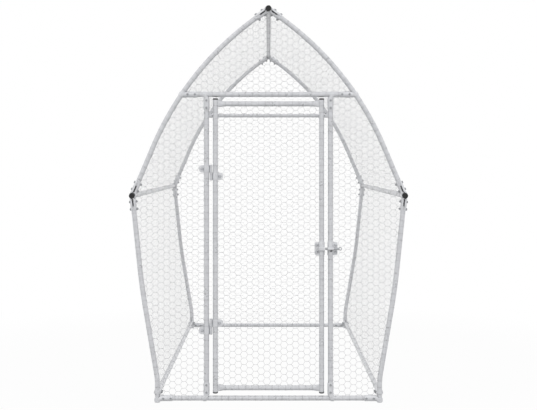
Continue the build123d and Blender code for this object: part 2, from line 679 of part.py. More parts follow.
# The guide has a round barrel in front, and the keeper a square staple with room for the bolt
with BuildPart() as guide:
    with BuildSketch(rod_plane(POST_X)):
        Circle(ROD_R + GUIDE_FIT + BARREL_WALL)
    extrude(amount=STRAP_OUT, both=True)
    tube_strap(POST_X, 1, LATCH_EAR, LATCH_HEIGHT, LATCH_PLATE)
    with BuildSketch(rod_plane(POST_X)):
        Circle(ROD_R + GUIDE_FIT)
    extrude(amount=STRAP_OUT, both=True, mode=Mode.SUBTRACT)
save(guide, "latch_guide")
with BuildPart() as keeper:
    room = 2 * (ROD_R + KEEPER_FIT)
    with BuildSketch(rod_plane(STILE_X)):
        Rectangle(room + 2 * BARREL_WALL, room + 2 * BARREL_WALL)
    extrude(amount=STRAP_OUT, both=True)
    tube_strap(STILE_X, -1, LATCH_EAR, LATCH_HEIGHT, LATCH_PLATE)
    with BuildSketch(rod_plane(STILE_X)):
        Rectangle(room, room)
    extrude(amount=STRAP_OUT, both=True, mode=Mode.SUBTRACT)
save(keeper, "latch_keeper")

# Sliding bolt: a rod with a chamfered tip and a flat eye at its outer end
with BuildPart() as latch_bolt:
    with BuildSketch(rod_plane(ROD_TIP)):
        Circle(ROD_R)
    extrude(amount=EYE_X - ROD_EYE_D / 2 + ROD_EYE_BITE - ROD_TIP)
    chamfer(latch_bolt.faces().sort_by(Axis.X)[0].edges(), ROD_TIP_CHAMFER)
    with BuildSketch(hoop_plane(ROD_Y)):
        with Locations((EYE_X, LATCH_HEIGHT)):
            Circle(ROD_EYE_D / 2)
    extrude(amount=ROD_EYE_THICKNESS / 2, both=True)
    with BuildSketch(hoop_plane(ROD_Y)):
        with Locations((EYE_X, LATCH_HEIGHT)):
            Circle(ROD_EYE_BORE / 2)
    extrude(amount=ROD_D, both=True, mode=Mode.SUBTRACT)
save(latch_bolt, "latch_bolt")
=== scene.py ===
from functools import partial
from math import atan2, cos, pi, radians, sin, sqrt, tan

import bmesh
import bpy
from mathutils import Matrix, Vector


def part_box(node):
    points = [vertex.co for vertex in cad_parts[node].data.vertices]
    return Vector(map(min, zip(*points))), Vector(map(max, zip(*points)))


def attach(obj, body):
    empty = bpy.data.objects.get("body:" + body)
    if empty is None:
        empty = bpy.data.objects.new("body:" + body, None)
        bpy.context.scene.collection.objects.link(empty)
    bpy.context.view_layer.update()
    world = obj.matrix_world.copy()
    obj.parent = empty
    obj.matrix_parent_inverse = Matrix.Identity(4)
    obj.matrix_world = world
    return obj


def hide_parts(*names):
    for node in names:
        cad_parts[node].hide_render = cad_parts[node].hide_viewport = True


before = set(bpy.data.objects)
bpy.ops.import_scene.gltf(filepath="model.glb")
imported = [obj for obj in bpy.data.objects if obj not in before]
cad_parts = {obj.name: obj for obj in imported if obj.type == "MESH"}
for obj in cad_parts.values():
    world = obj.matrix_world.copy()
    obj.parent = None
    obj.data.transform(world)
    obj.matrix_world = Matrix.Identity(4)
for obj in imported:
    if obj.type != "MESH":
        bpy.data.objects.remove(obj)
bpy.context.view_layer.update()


# Hoop tubes: two pointed hoops, each of two bowed legs and two bent roof tubes, open at the feet.
# Round steel tube with a thin wall, bent cold and galvanised, held at its ends in pressed clamps.
def middle(node):
    """Middle of a node's box."""
    low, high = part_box(node)
    return (low + high) / 2


def in_hoop(angle):
    """Unit vector in a hoop's plane, at an angle above the +X axis."""
    return Vector((cos(angle), 0, sin(angle)))


def crossing(p, p_way, q, q_way):
    """Point of a hoop's plane where two lines meet."""
    gap = q - p
    turn = p_way.x * q_way.z - p_way.z * q_way.x
    return p + p_way * ((gap.x * q_way.z - gap.z * q_way.x) / turn)


def place(point, side, y):
    """A point or way of the right half hoop, on one side of the run and at a place along it."""
    return Vector((point.x * side, y, point.z))


TUBE_RADIUS = (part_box("ridge_rail")[1].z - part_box("ridge_rail")[0].z) / 2
TUBE_WALL = 0.001
TUBE_SETBACK = 0.040
TUBE_SIDES = 32
SHARP_ANGLE = radians(40)
BEND_STEPS = 20
HOOP_Y = middle("rear_header").y
SIDES = (-1, 1)
ENDS = (-1, 1)
RIDGE = place(middle("ridge_rail"), 1, 0)
SHOULDER = place(middle("right_shoulder_rail"), 1, 0)
FOOT = Vector((middle("right_bottom_rail").x, 0, 0))
KNEE_HEIGHT = 0.088
KNEE = FOOT + Vector((0, 0, KNEE_HEIGHT))
KNEE_RADIUS = 0.250
LEG_BOW_TURN = radians(3.7)
LEG_BOW_RADIUS = 2.5
ARCH_FOOT_TURN = radians(13.1)
ARCH_TIP_TURN = radians(17.9)
ARCH_STRAIGHT = 0.065
ROOF_ANGLE = atan2(RIDGE.z - SHOULDER.z, SHOULDER.x)
LEG_LEAN = atan2(SHOULDER.x - FOOT.x, SHOULDER.z - KNEE.z)
ARCH_UP = in_hoop(pi - ROOF_ANGLE - ARCH_FOOT_TURN)
TIP_DOWN = in_hoop(ARCH_TIP_TURN - ROOF_ANGLE)
LEG_DOWN = in_hoop(-pi / 2 - LEG_LEAN + LEG_BOW_TURN / 2)
CROWN = crossing(SHOULDER, ARCH_UP, RIDGE, TIP_DOWN)
BOW = crossing(SHOULDER, LEG_DOWN, KNEE, in_hoop(pi / 2 - LEG_LEAN - LEG_BOW_TURN / 2))
HALF_TURN = tan((ARCH_FOOT_TURN + ARCH_TIP_TURN) / 2)
ARCH_RADIUS = ((CROWN - RIDGE).length - ARCH_STRAIGHT) / HALF_TURN
ARCH_BENDS = (0, ARCH_RADIUS, 0)
LEG_BENDS = (0, LEG_BOW_RADIUS, KNEE_RADIUS, 0)


def arch_corners(side, y, trim):
    """Corners of a roof tube's line, from the shoulder to the ridge, less a trim at both ends."""
    return [place(p, side, y) for p in (SHOULDER + ARCH_UP * trim, CROWN, RIDGE + TIP_DOWN * trim)]


def leg_corners(side, y, trim):
    """Corners of a leg's line, from the shoulder to the ground, less a trim at the top."""
    return [place(p, side, y) for p in (SHOULDER + LEG_DOWN * trim, BOW, KNEE, FOOT)]


def connect(tree, node, inputs):
    """Put values on a node's inputs, or links from sockets or from other nodes' first outputs."""
    for key, value in inputs.items():
        if isinstance(value, bpy.types.Node):
            value = value.outputs[0]
        if isinstance(value, bpy.types.NodeSocket):
            tree.links.new(value, node.inputs[key])
        else:
            node.inputs[key].default_value = value


def add_node(tree, kind, inputs=None, **settings):
    """Add a node with its settings, and with values or links on its inputs."""
    made = tree.nodes.new(kind)
    for name, value in settings.items():
        setattr(made, name, value)
    connect(tree, made, inputs or {})
    return made


def linear(code):
    """Linear colour of an sRGB hex value."""
    parts = [int(code[i : i + 2], 16) / 255 for i in (1, 3, 5)]
    return [c / 12.92 if c <= 0.04045 else ((c + 0.055) / 1.055) ** 2.4 for c in parts] + [1]


def new_material(name):
    """A material with its node tree, its surface shader and its object coordinates."""
    material = bpy.data.materials.new(name)
    material.use_nodes = True
    tree = material.node_tree
    shader = tree.nodes["Principled BSDF"]
    return material, tree, shader, add_node(tree, "ShaderNodeTexCoord").outputs["Object"]


def set_tones(ramp, dark, pale, spread=(0, 1)):
    """Give a colour ramp its two tones, and the values that they stand at."""
    for stop, value, tone in zip(ramp.color_ramp.elements, spread, (dark, pale)):
        stop.position = value
        stop.color = linear(tone)


CLOUD_SPANGLES = 5
GRAINS_IN_SPANGLE = 4
CRYSTAL_SHARE = 0.35
TONE_SPREAD = (0.25, 0.75)
GLOSS_SPREAD = 0.08
GRAIN_DEPTH = 0.0002
GRAIN_STRENGTH = 0.25


def zinc_finish(name, pale, dark, spangle, roughness, metallic):
    """Zinc on steel: crystals a spangle wide in two near greys, an uneven gloss, a fine grain."""
    material, tree, shader, place_on = new_material(name)
    crystals = add_node(tree, "ShaderNodeTexVoronoi", {"Vector": place_on, "Scale": 1 / spangle})
    scale = 1 / (CLOUD_SPANGLES * spangle)
    cloud = add_node(tree, "ShaderNodeTexNoise", {"Vector": place_on, "Scale": scale, "Detail": 4})
    scale = GRAINS_IN_SPANGLE / spangle
    grain = add_node(tree, "ShaderNodeTexNoise", {"Vector": place_on, "Scale": scale, "Detail": 3})
    both = add_node(
        tree,
        "ShaderNodeMix",
        {"Factor": CRYSTAL_SHARE, "A": cloud, "B": crystals.outputs["Color"]},
        data_type="FLOAT",
    )
    ramp = add_node(tree, "ShaderNodeValToRGB", {"Fac": both})
    set_tones(ramp, dark, pale, TONE_SPREAD)
    gloss = add_node(
        tree,
        "ShaderNodeMapRange",
        {"Value": both, "To Min": roughness - GLOSS_SPREAD, "To Max": roughness + GLOSS_SPREAD},
    )
    dents = {"Height": grain, "Strength": GRAIN_STRENGTH, "Distance": GRAIN_DEPTH}
    bump = add_node(tree, "ShaderNodeBump", dents)
    finish = {"Base Color": ramp, "Roughness": gloss, "Normal": bump, "Metallic": metallic}
    connect(tree, shader, finish)
    return material


# Hot-dip zinc on drawn tube shows pale grey crystals about 8 mm wide under a soft, broad gloss.
# Its skin has dulled, so it mirrors about half as much as bare metal does.
GALVANISED_TUBE = zinc_finish("galvanised_steel_tube", "#d4d5d8", "#c2c3c6", 0.008, 0.3, 0.5)


def new_tree(name, inputs):
    """A geometry tree with named inputs, and the sockets that give their values."""
    tree = bpy.data.node_groups.new(name, "GeometryNodeTree")
    for label, kind in {"Geometry": "Geometry", **inputs}.items():
        tree.interface.new_socket(label, in_out="INPUT", socket_type=f"NodeSocket{kind}")
    tree.interface.new_socket("Geometry", in_out="OUTPUT", socket_type="NodeSocketGeometry")
    return tree, add_node(tree, "NodeGroupInput").outputs


def end_tree(tree, grown, finish):
    """End a tree: what it has grown is made real, gets its finish and is given out."""
    real = add_node(tree, "GeometryNodeRealizeInstances", {"Geometry": grown})
    done = add_node(tree, "GeometryNodeSetMaterial", {"Geometry": real, "Material": finish})
    add_node(tree, "NodeGroupOutput", {"Geometry": done})


def helper(name, data):
    """An object in the scene that only helps to make a piece."""
    made = bpy.data.objects.new(name, data)
    bpy.context.scene.collection.objects.link(made)
    return made


def thicken(start, thickness, offset):
    """Give a helper's skin a wall."""
    shell = start.modifiers.new("wall", "SOLIDIFY")
    shell.thickness = thickness
    shell.offset = offset
    shell.use_even_offset = True


def settled(start, name):
    """The plain mesh that a helper's modifiers make of it. The helper is put away."""
    bpy.context.view_layer.update()
    graph = bpy.context.evaluated_depsgraph_get()
    mesh = bpy.data.meshes.new_from_object(start.evaluated_get(graph))
    mesh.name = name
    bpy.data.objects.remove(start)
    return mesh


def grow(name, source, tree, values, wall=0.0):
    """The plain mesh that a tree makes of a source mesh with these values, and with any wall."""
    start = helper(name, source)
    modifier = start.modifiers.new(name, "NODES")
    modifier.node_group = tree
    for item in tree.interface.items_tree:
        if item.in_out == "INPUT" and item.name in values:
            modifier[item.identifier] = values[item.name]
    if wall:
        thicken(start, wall, -1)
    return settled(start, name)


def add_piece(name, mesh, body, slot, *nodes):
    """Put a finished mesh in the run: its body and the nodes it shows. The slot is not used."""
    made = helper(name, mesh)
    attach(made, body)
    if nodes:
        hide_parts(*nodes)


def lines_mesh(name, lines, closed=False):
    """Tube lines as one mesh of edges. Each line is its corners and the bend radius at each."""
    points, bends, edges = [], [], []
    for corners, radii in lines:
        edges += [(len(points) + i, len(points) + i + 1) for i in range(len(corners) - 1)]
        if closed:
            edges.append((len(points) + len(corners) - 1, len(points)))
        points += corners
        bends += radii
    mesh = bpy.data.meshes.new(name)
    mesh.from_pydata(points, edges, [])
    mesh.attributes.new("bend", "FLOAT", "POINT").data.foreach_set("value", bends)
    return mesh


def bent_lines(tree, geometry):
    """Tube lines as curves, with their corners rounded to the bend radii."""
    line = add_node(tree, "GeometryNodeMeshToCurve", {"Mesh": geometry})
    bend = add_node(tree, "GeometryNodeInputNamedAttribute", {"Name": "bend"}, data_type="FLOAT")
    values = {"Curve": line, "Radius": bend, "Count": BEND_STEPS}
    return add_node(tree, "GeometryNodeFilletCurve", values, mode="POLY")


def round_along(tree, line, sides, radius, capped=False):
    """A round tube or wire drawn along a line."""
    values = {"Resolution": sides, "Radius": radius}
    section = add_node(tree, "GeometryNodeCurvePrimitiveCircle", values)
    values = {"Curve": line, "Profile Curve": section, "Fill Caps": capped}
    return add_node(tree, "GeometryNodeCurveToMesh", values)


tube_tree, given = new_tree("Bent tube", {"Radius": "Float", "Sides": "Int", "Finish": "Material"})
tube_line = bent_lines(tube_tree, given["Geometry"])
tube_skin = round_along(tube_tree, tube_line, given["Sides"], given["Radius"])
end_tree(tube_tree, tube_skin, given["Finish"])
TUBE_VALUES = {"Radius": TUBE_RADIUS, "Sides": TUBE_SIDES, "Finish": GALVANISED_TUBE}


def add_tubes(name, lines, body, *nodes):
    """Steel tubes along their lines, open at both ends."""
    mesh = grow(name, lines_mesh(name, lines), tube_tree, TUBE_VALUES, TUBE_WALL)
    mesh.set_sharp_from_angle(angle=SHARP_ANGLE)
    add_piece(name, mesh, body, "galvanised_tube", *nodes)


hoop_lines = []
for hoop_y in (-HOOP_Y, HOOP_Y):
    for side in SIDES:
        hoop_lines.append((arch_corners(side, hoop_y, TUBE_SETBACK), ARCH_BENDS))
        hoop_lines.append((leg_corners(side, hoop_y, TUBE_SETBACK), LEG_BENDS))
HOOP_NODES = ("left_roof_tubes", "right_roof_tubes", "left_legs", "right_legs")
add_tubes("hoop_tubes", hoop_lines, "frame", *HOOP_NODES)


# Long rails: the ridge, the two shoulders and the two side rails near the ground, hoop to hoop.
# The same galvanised tube, cut straight. The upper three run past the hoops and are capped.
def axis_line(node):
    """Straight line through the middle of a node, along its longest side."""
    low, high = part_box(node)
    mid = (low + high) / 2
    way = max(range(3), key=lambda i: high[i] - low[i])
    start, end = mid.copy(), mid.copy()
    start[way], end[way] = low[way], high[way]
    return [start, end], (0, 0)


UPPER_RAILS = ("ridge_rail", "left_shoulder_rail", "right_shoulder_rail")
LONG_RAILS = (*UPPER_RAILS, "left_bottom_rail", "right_bottom_rail")
rail_lines = [axis_line(node) for node in LONG_RAILS]
add_tubes("long_rails", rail_lines, "frame", *LONG_RAILS)


# Cross tubes: a header and a bottom rail in each hoop, and a post at each side of the doorway.
# The same tube again, each end held in a clamp on the tube that it meets.
CROSS_TUBES = ("front_header", "rear_header", "front_bottom_rail", "rear_bottom_rail")
POSTS = ("left_door_post", "right_door_post")
cross_lines = [axis_line(node) for node in CROSS_TUBES + POSTS]
add_tubes("cross_tubes", cross_lines, "frame", *CROSS_TUBES, *POSTS)


# Tee clamps: one pressed strap each, looped round the tube that runs through and closed as two
# half shells round the end of the other tube. Zinc-plated sheet steel, 2 mm thick, edges rolled.
STRAP = 0.002
CLAMP_PLAY = 0.00025
CLAMP_RADIUS = TUBE_RADIUS + CLAMP_PLAY + STRAP / 2
LOOP_WIDTH = 0.013
LOOP_SPLIT = 0.0005
ARM_START = 0.0145
ARM_END = 0.057
ARM_SHARES = (1, 0.75, 0.5)
ARM_SLIT = 0.006
ARM_CLOSED = 0.0005
NECK_FALL = 1.6
ACROSS_STEPS = 10
LOOP_STEPS = 12
NECK_STEPS = 6
EDGE_SHARE = 0.22
EDGE_STEPS = 2
EDGE_ANGLE = radians(50)

# Electroplated zinc is a little paler than the zinc on the tubes, with a duller gloss.
# Its crystals are really too fine to see, and are drawn 6 mm wide so that they show.
PRESSED_ZINC = zinc_finish("zinc_plated_pressing", "#d9dadd", "#c8c9cc", 0.006, 0.35, 0.45)


def smooth(t):
    """Ease from 0 to 1."""
    return t * t * (3 - 2 * t)


def mesh_of(shape, name, material):
    """A shape in work as a mesh with its finish, its faces pointing outwards."""
    bmesh.ops.recalc_face_normals(shape, faces=shape.faces)
    mesh = bpy.data.meshes.new(name)
    shape.to_mesh(mesh)
    shape.free()
    mesh.materials.append(material)
    return mesh


def strap_from_rows(name, rows, thickness, material, holes=()):
    """A sheet steel piece from rows of points on its middle surface, with rounded edges.

    Holes are the places in the rows, as row and column, that are punched out.
    """
    shape = bmesh.new()
    grid = [[shape.verts.new(point) for point in row] for row in rows]
    for at, (row, following) in enumerate(zip(grid, grid[1:])):
        for i in range(len(row) - 1):
            if (at, i) not in holes:
                shape.faces.new((row[i], row[i + 1], following[i + 1], following[i]))
    start = helper(name, mesh_of(shape, name, material))
    thicken(start, thickness, 0)
    edge = start.modifiers.new("edges", "BEVEL")
    edge.width = thickness * EDGE_SHARE
    edge.segments = EDGE_STEPS
    edge.limit_method = "ANGLE"
    edge.angle_limit = EDGE_ANGLE
    mesh = settled(start, name)
    mesh.shade_smooth()
    mesh.set_sharp_from_angle(angle=SHARP_ANGLE)
    return mesh


def clamp_rows(band, lean, shut):
    """Middle surface of a clamp, from the end of one half shell, round the loop, to the other's.

    Shut is the side, along local Y, on which the half shells meet. The other side has a slit.
    """
    axis = Vector((sin(lean), cos(lean), 0))
    side_way = Vector((cos(lean), -sin(lean), 0))
    shares = [2 * i / ACROSS_STEPS - 1 for i in range(ACROSS_STEPS + 1)]
    shell = []
    for t in shares:
        slit = ARM_CLOSED if t * shut > 0 else ARM_SLIT
        turn = (pi / 2 - slit / 2 / CLAMP_RADIUS) * t
        shell.append(Vector((0, CLAMP_RADIUS * sin(turn), CLAMP_RADIUS * cos(turn))))
    half = [[Vector((share * ARM_END, p.y, p.z)) for p in shell] for share in ARM_SHARES]
    begin = [Vector((ARM_START + p.y * tan(lean), p.y, p.z)) for p in shell]
    top = [axis * (band + LOOP_WIDTH / 2 * t) + Vector((0, 0, CLAMP_RADIUS)) for t in shares]
    half.append(begin)
    for step in range(1, NECK_STEPS):
        share = step / NECK_STEPS
        drop = smooth(max(0, 1 - share * NECK_FALL))
        row = []
        for from_arm, to_loop in zip(begin, top):
            point = from_arm.lerp(to_loop, share)
            point.z = to_loop.z + (from_arm.z - to_loop.z) * drop
            row.append(point)
        half.append(row)
    loop = []
    for step in range(LOOP_STEPS + 1):
        turn = pi * step / LOOP_STEPS
        out, up = -CLAMP_RADIUS * sin(turn), CLAMP_RADIUS * cos(turn)
        round_tube = side_way * out + Vector((0, 0, up))
        loop.append([axis * (band + LOOP_WIDTH / 2 * t) + round_tube for t in shares])
    mirrored = [[Vector((p.x, p.y, -p.z)) for p in row] for row in reversed(half)]
    return half + loop + mirrored


def frame_at(centre, x_way, z_way):
    """Matrix of a place with its local X and Z along two ways."""
    x_way, z_way = Vector(x_way).normalized(), Vector(z_way).normalized()
    turn = Matrix((x_way, z_way.cross(x_way), z_way)).transposed()
    return Matrix.Translation(centre) @ turn.to_4x4()


clamps = {}


def put_clamp(lean, centre, arm, outward, loop_side, inside):
    """Note the place of a clamp, by its lean, the side of its loop and the side that is shut."""
    spot = frame_at(centre, arm, outward)
    across = spot.col[1].to_3d()
    hand = 1 if across.dot(Vector(loop_side)) > 0 else -1
    shut = round(across.dot(Vector(inside)))
    clamps.setdefault((lean, hand, shut), []).append(spot)


SIDE_BAND = (LOOP_SPLIT + LOOP_WIDTH) / 2
BOTTOM_RAIL_HEIGHT = middle("front_bottom_rail").z
SIDE_RAIL_HEIGHT = middle("right_bottom_rail").z
HEADER_HEIGHT = middle("front_header").z
POST_X = middle("right_door_post").x
ARCH_START = CROWN - ARCH_UP * (ARCH_RADIUS * HALF_TURN)
ARCH_CENTRE = ARCH_START + Vector((-ARCH_UP.z, 0, ARCH_UP.x)) * ARCH_RADIUS
LINTEL = Vector((0, 0, HEADER_HEIGHT))
LINTEL.x = ARCH_CENTRE.x + sqrt(ARCH_RADIUS**2 - (HEADER_HEIGHT - ARCH_CENTRE.z) ** 2)
LINTEL_LEAN = atan2(LINTEL.z - ARCH_CENTRE.z, LINTEL.x - ARCH_CENTRE.x)
UP, DOWN = (0, 0, 1), (0, 0, -1)
BOTH_OPEN = (0, 0, 0)
for end in ENDS:
    for side in SIDES:
        y = end * HOOP_Y
        ridge, shoulder, lintel = (place(p, side, y) for p in (RIDGE, SHOULDER, LINTEL))
        arch_up, tip_down, leg_down = (place(p, side, 0) for p in (ARCH_UP, TIP_DOWN, LEG_DOWN))
        tip_out, arch_out, leg_out = (
            place(Vector((way.z, 0, -way.x)) * turn, side, 0)
            for way, turn in ((TIP_DOWN, -1), (ARCH_UP, 1), (LEG_DOWN, -1))
        )
        along_in, along_out, across_in = (0, -end, 0), (0, end, 0), (-side, 0, 0)
        put_clamp(0, ridge, tip_down, tip_out, (0, side, 0), along_in)
        put_clamp(0, shoulder, arch_up, arch_out, along_out, along_in)
        put_clamp(0, shoulder, leg_down, leg_out, along_in, along_in)
        put_clamp(LINTEL_LEAN, lintel, across_in, along_out, UP, BOTH_OPEN)
        foot = Vector((side * FOOT.x, y, BOTTOM_RAIL_HEIGHT))
        put_clamp(0, foot, across_in, along_out, DOWN, BOTH_OPEN)
        foot = Vector((side * FOOT.x, y, SIDE_RAIL_HEIGHT))
        put_clamp(0, foot, along_in, (side, 0, 0), UP, BOTH_OPEN)
for side in SIDES:
    for height, way in ((HEADER_HEIGHT, DOWN), (BOTTOM_RAIL_HEIGHT, UP)):
        post_end = (side * POST_X, -HOOP_Y, height)
        put_clamp(0, post_end, way, (0, -1, 0), (side, 0, 0), BOTH_OPEN)

copy_tree, given = new_tree("Copies at places", {"Piece": "Object", "Finish": "Material"})
copy_node = partial(add_node, copy_tree)
copy_piece = copy_node("GeometryNodeObjectInfo", {"Object": given["Piece"]}).outputs["Geometry"]
copy_turn = copy_node(
    "GeometryNodeInputNamedAttribute", {"Name": "turn"}, data_type="FLOAT_VECTOR"
)
copy_turn = copy_node("FunctionNodeEulerToRotation", {"Euler": copy_turn})
copy_set = copy_node(
    "GeometryNodeInstanceOnPoints",
    {"Points": given["Geometry"], "Instance": copy_piece, "Rotation": copy_turn},
)
end_tree(copy_tree, copy_set, given["Finish"])


def copies(name, shape, places):
    """One mesh with a copy of a shape at each place."""
    points = bpy.data.meshes.new(name)
    points.from_pydata([spot.to_translation() for spot in places], [], [])
    turns = points.attributes.new("turn", "FLOAT_VECTOR", "POINT")
    turns.data.foreach_set("vector", [angle for spot in places for angle in spot.to_euler()])
    pattern = helper(f"{name}_pattern", shape)
    mesh = grow(name, points, copy_tree, {"Piece": pattern, "Finish": shape.materials[0]})
    bpy.data.objects.remove(pattern)
    return mesh


def joined(name, meshes):
    """Several meshes as one, in the finish of the first."""
    shape = bmesh.new()
    for mesh in meshes:
        shape.from_mesh(mesh)
    whole = bpy.data.meshes.new(name)
    shape.to_mesh(whole)
    shape.free()
    for material in meshes[0].materials:
        whole.materials.append(material)
    return whole


CLAMP_KINDS = ("ridge", "arch_foot", "leg_top", "header", "bottom_rail", "side_rail", "post")
CLAMP_NODES = [f"{kind}_clamps" for kind in CLAMP_KINDS]
clamp_meshes = []
for (lean, hand, shut), spots in clamps.items():
    rows = clamp_rows(0 if lean else hand * SIDE_BAND, hand * lean, shut)
    clamp = strap_from_rows("clamp", rows, STRAP, PRESSED_ZINC)
    clamp_meshes.append(copies("clamps", clamp, spots))
clamp_mesh = joined("tee_clamps", clamp_meshes)
add_piece("tee_clamps", clamp_mesh, "frame", "pressed_steel", *CLAMP_NODES)


# Clamp bolts: two through each clamp arm, hexagon heads outside and nuts with a short thread end
# inside. Cold-headed steel with a rolled 5 mm thread, zinc-plated and gone dull.
HEX_FLATS = 0.008
HEX_SIDES = 6
HEX_CHAMFER = 0.0007
HEAD_HEIGHT = 0.0036
NUT_HEIGHT = 0.004
THREAD_RADIUS = 0.0025
THREAD_END = 0.0025
THREAD_SIDES = 12
THREAD_CHAMFER = 0.0006
BOLT_PLACES = (0.023, 0.051)
BOLT_SINK = 0.0004
BOLT_SEAT = CLAMP_RADIUS + STRAP / 2 - BOLT_SINK
TURNED_ANGLE = radians(35)

# Dull zinc with little mirror left, a darker grey than the clamps so the bolts stand out. The
# darker grey is partly painted shade, for the dark look that the bolts take from shading.
# Its clouding is drawn 3 mm wide to show.
DULL_ZINC_AND_SHADE = zinc_finish("dull_zinc_bolts", "#a8aaad", "#8e9093", 0.003, 0.4, 0.3)


def ring_shape(name, rings, material, closed=False):
    """A shape through rings of points, capped at both ends or closed on itself."""
    shape = bmesh.new()
    loops = [[shape.verts.new(point) for point in ring] for ring in rings]
    for loop, following in zip(loops, loops[1:] + loops[:1] if closed else loops[1:]):
        for i in range(len(loop)):
            j = (i + 1) % len(loop)
            shape.faces.new((loop[i], loop[j], following[j], following[i]))
    if not closed:
        shape.faces.new(reversed(loops[0]))
        shape.faces.new(loops[-1])
    mesh = mesh_of(shape, name, material)
    mesh.shade_smooth()
    mesh.set_sharp_from_angle(angle=TURNED_ANGLE)
    return mesh


def turned(name, profile, sides, material, closed=False):
    """A shape about Z with a number of sides, from its radius and height at each step."""
    turns = [2 * pi * i / sides for i in range(sides)]
    rings = [[Vector((r * cos(t), r * sin(t), height)) for t in turns] for r, height in profile]
    return ring_shape(name, rings, material, closed)


def hexagon(name, height):
    """A hexagon head or nut with its corners turned off."""
    wide = HEX_FLATS / sqrt(3)
    profile = [
        (wide - HEX_CHAMFER / 2, 0),
        (wide, HEX_CHAMFER),
        (wide, height - HEX_CHAMFER),
        (wide - HEX_CHAMFER, height),
    ]
    return turned(name, profile, HEX_SIDES, DULL_ZINC_AND_SHADE)


thread_tip = NUT_HEIGHT + THREAD_END
thread_profile = [
    (THREAD_RADIUS, 0),
    (THREAD_RADIUS, thread_tip - THREAD_CHAMFER),
    (THREAD_RADIUS - THREAD_CHAMFER, thread_tip),
]
thread = turned("thread_end", thread_profile, THREAD_SIDES, DULL_ZINC_AND_SHADE)
BOLT_HEAD = hexagon("bolt_head", HEAD_HEIGHT)
BOLT_NUT = joined("bolt_nut", [hexagon("nut", NUT_HEIGHT), thread])
TURN_OVER = Matrix.Rotation(pi, 4, "X")
head_places, nut_places = [], []
for spots in clamps.values():
    for spot in spots:
        for reach in BOLT_PLACES:
            head_places.append(spot @ Matrix.Translation((reach, 0, BOLT_SEAT)))
            nut_places.append(spot @ Matrix.Translation((reach, 0, -BOLT_SEAT)) @ TURN_OVER)
clamp_heads = copies("clamp_heads", BOLT_HEAD, head_places)
clamp_nuts = copies("clamp_nuts", BOLT_NUT, nut_places)
clamp_bolts = joined("clamp_bolts", [clamp_heads, clamp_nuts])
add_piece("clamp_bolts", clamp_bolts, "frame", "zinc_hardware")


# Rail caps: black plastic plugs pushed into the ends of the ridge and shoulder rails.
# Moulded polyethylene with a rounded rim and a shallow dimple from the mould.
CAP_SIDES = 32
CAP_BACK_SHARE = 0.96
CAP_RIM_SHARE = 0.6
CAP_RIM_STEPS = 6
CAP_DIMPLE_SHARES = ((0.42, 1), (0.36, 0.8), (0.12, 0.72))
RAIL_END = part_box("ridge_rail")[1].y
CAP_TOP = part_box("rail_end_caps")[1]
CAP_HEIGHT = CAP_TOP.y - RAIL_END
RAIL_CAP_RADIUS = CAP_TOP.z - RIDGE.z

# Mottles and grains to the metre, so 5.6 mm and 0.4 mm wide.
MOTTLES = 180
MOULD_GRAINS = 2500
MOULD_DEPTH = 0.0001
MOULD_STRENGTH = 0.2


def moulded_plastic(name, dark, pale, roughness):
    """Moulded plastic: a soft gloss, a faint mottle and a fine grain from the mould."""
    material, tree, shader, place_on = new_material(name)
    values = {"Vector": place_on, "Scale": MOTTLES, "Detail": 4}
    mottle = add_node(tree, "ShaderNodeTexNoise", values)
    ramp = add_node(tree, "ShaderNodeValToRGB", {"Fac": mottle})
    set_tones(ramp, dark, pale)
    grain = add_node(tree, "ShaderNodeTexNoise", {"Vector": place_on, "Scale": MOULD_GRAINS})
    dents = {"Height": grain, "Strength": MOULD_STRENGTH, "Distance": MOULD_DEPTH}
    bump = add_node(tree, "ShaderNodeBump", dents)
    connect(tree, shader, {"Base Color": ramp, "Roughness": roughness, "Normal": bump})
    return material


# Polyethylene off a fine mould is nearly black, with a soft sheen and a faint mottle.
BLACK_PLASTIC = moulded_plastic("black_polyethylene", "#0b0b0c", "#161718", 0.45)


def cap_shape(name, radius, height):
    """A plug's head: a flat back, a rounded rim and a dimple in its face."""
    rim = height * CAP_RIM_SHARE
    profile = [(radius * CAP_BACK_SHARE, 0)]
    for step in range(CAP_RIM_STEPS + 1):
        turn = pi / 2 * step / CAP_RIM_STEPS
        profile.append((radius - rim + rim * cos(turn), height - rim + rim * sin(turn)))
    profile += [(radius * out, height * up) for out, up in CAP_DIMPLE_SHARES]
    return turned(name, profile, CAP_SIDES, BLACK_PLASTIC)


cap_places = []
for axis in (RIDGE, SHOULDER, place(SHOULDER, -1, 0)):
    for end in ENDS:
        cap_places.append(frame_at((axis.x, end * RAIL_END, axis.z), (1, 0, 0), (0, end, 0)))
rail_caps = copies("rail_caps", cap_shape("rail_cap", RAIL_CAP_RADIUS, CAP_HEIGHT), cap_places)
add_piece("rail_caps", rail_caps, "frame", "black_plastic", "rail_end_caps")


# Netting: hexagonal wire netting of 25 mm cells on every side, cut to each opening and tied to its
# tubes. Galvanised iron wire, in pairs twisted together on the level sides of each cell.
CELL = 0.025
UNEVENNESS = 0.0012
WIRE_SIDES = 3
TWIST_STEPS = 4
SPARE_CELLS = 3
TOUCHING_SHARE = 0.05
LEVEL_SHARE = 0.1
SWAYS_IN_CELL = 0.6
RAY_START = 0.1

# Thickness of a single wire and of a twisted strand. The front nets are drawn heavier than real
# wire so that the mesh shows. The others are finer, so that layers of net don't close up.
FRONT_WIRE = (0.00105, 0.0006)
FINE_WIRE = (0.00033, 0.0005)

# Dipped iron wire is a mid grey with a metal gleam. Its clouding is drawn 4 mm wide to show.
GALVANISED_WIRE = zinc_finish("galvanised_iron_wire", "#9a9b9e", "#86878a", 0.004, 0.35, 0.6)

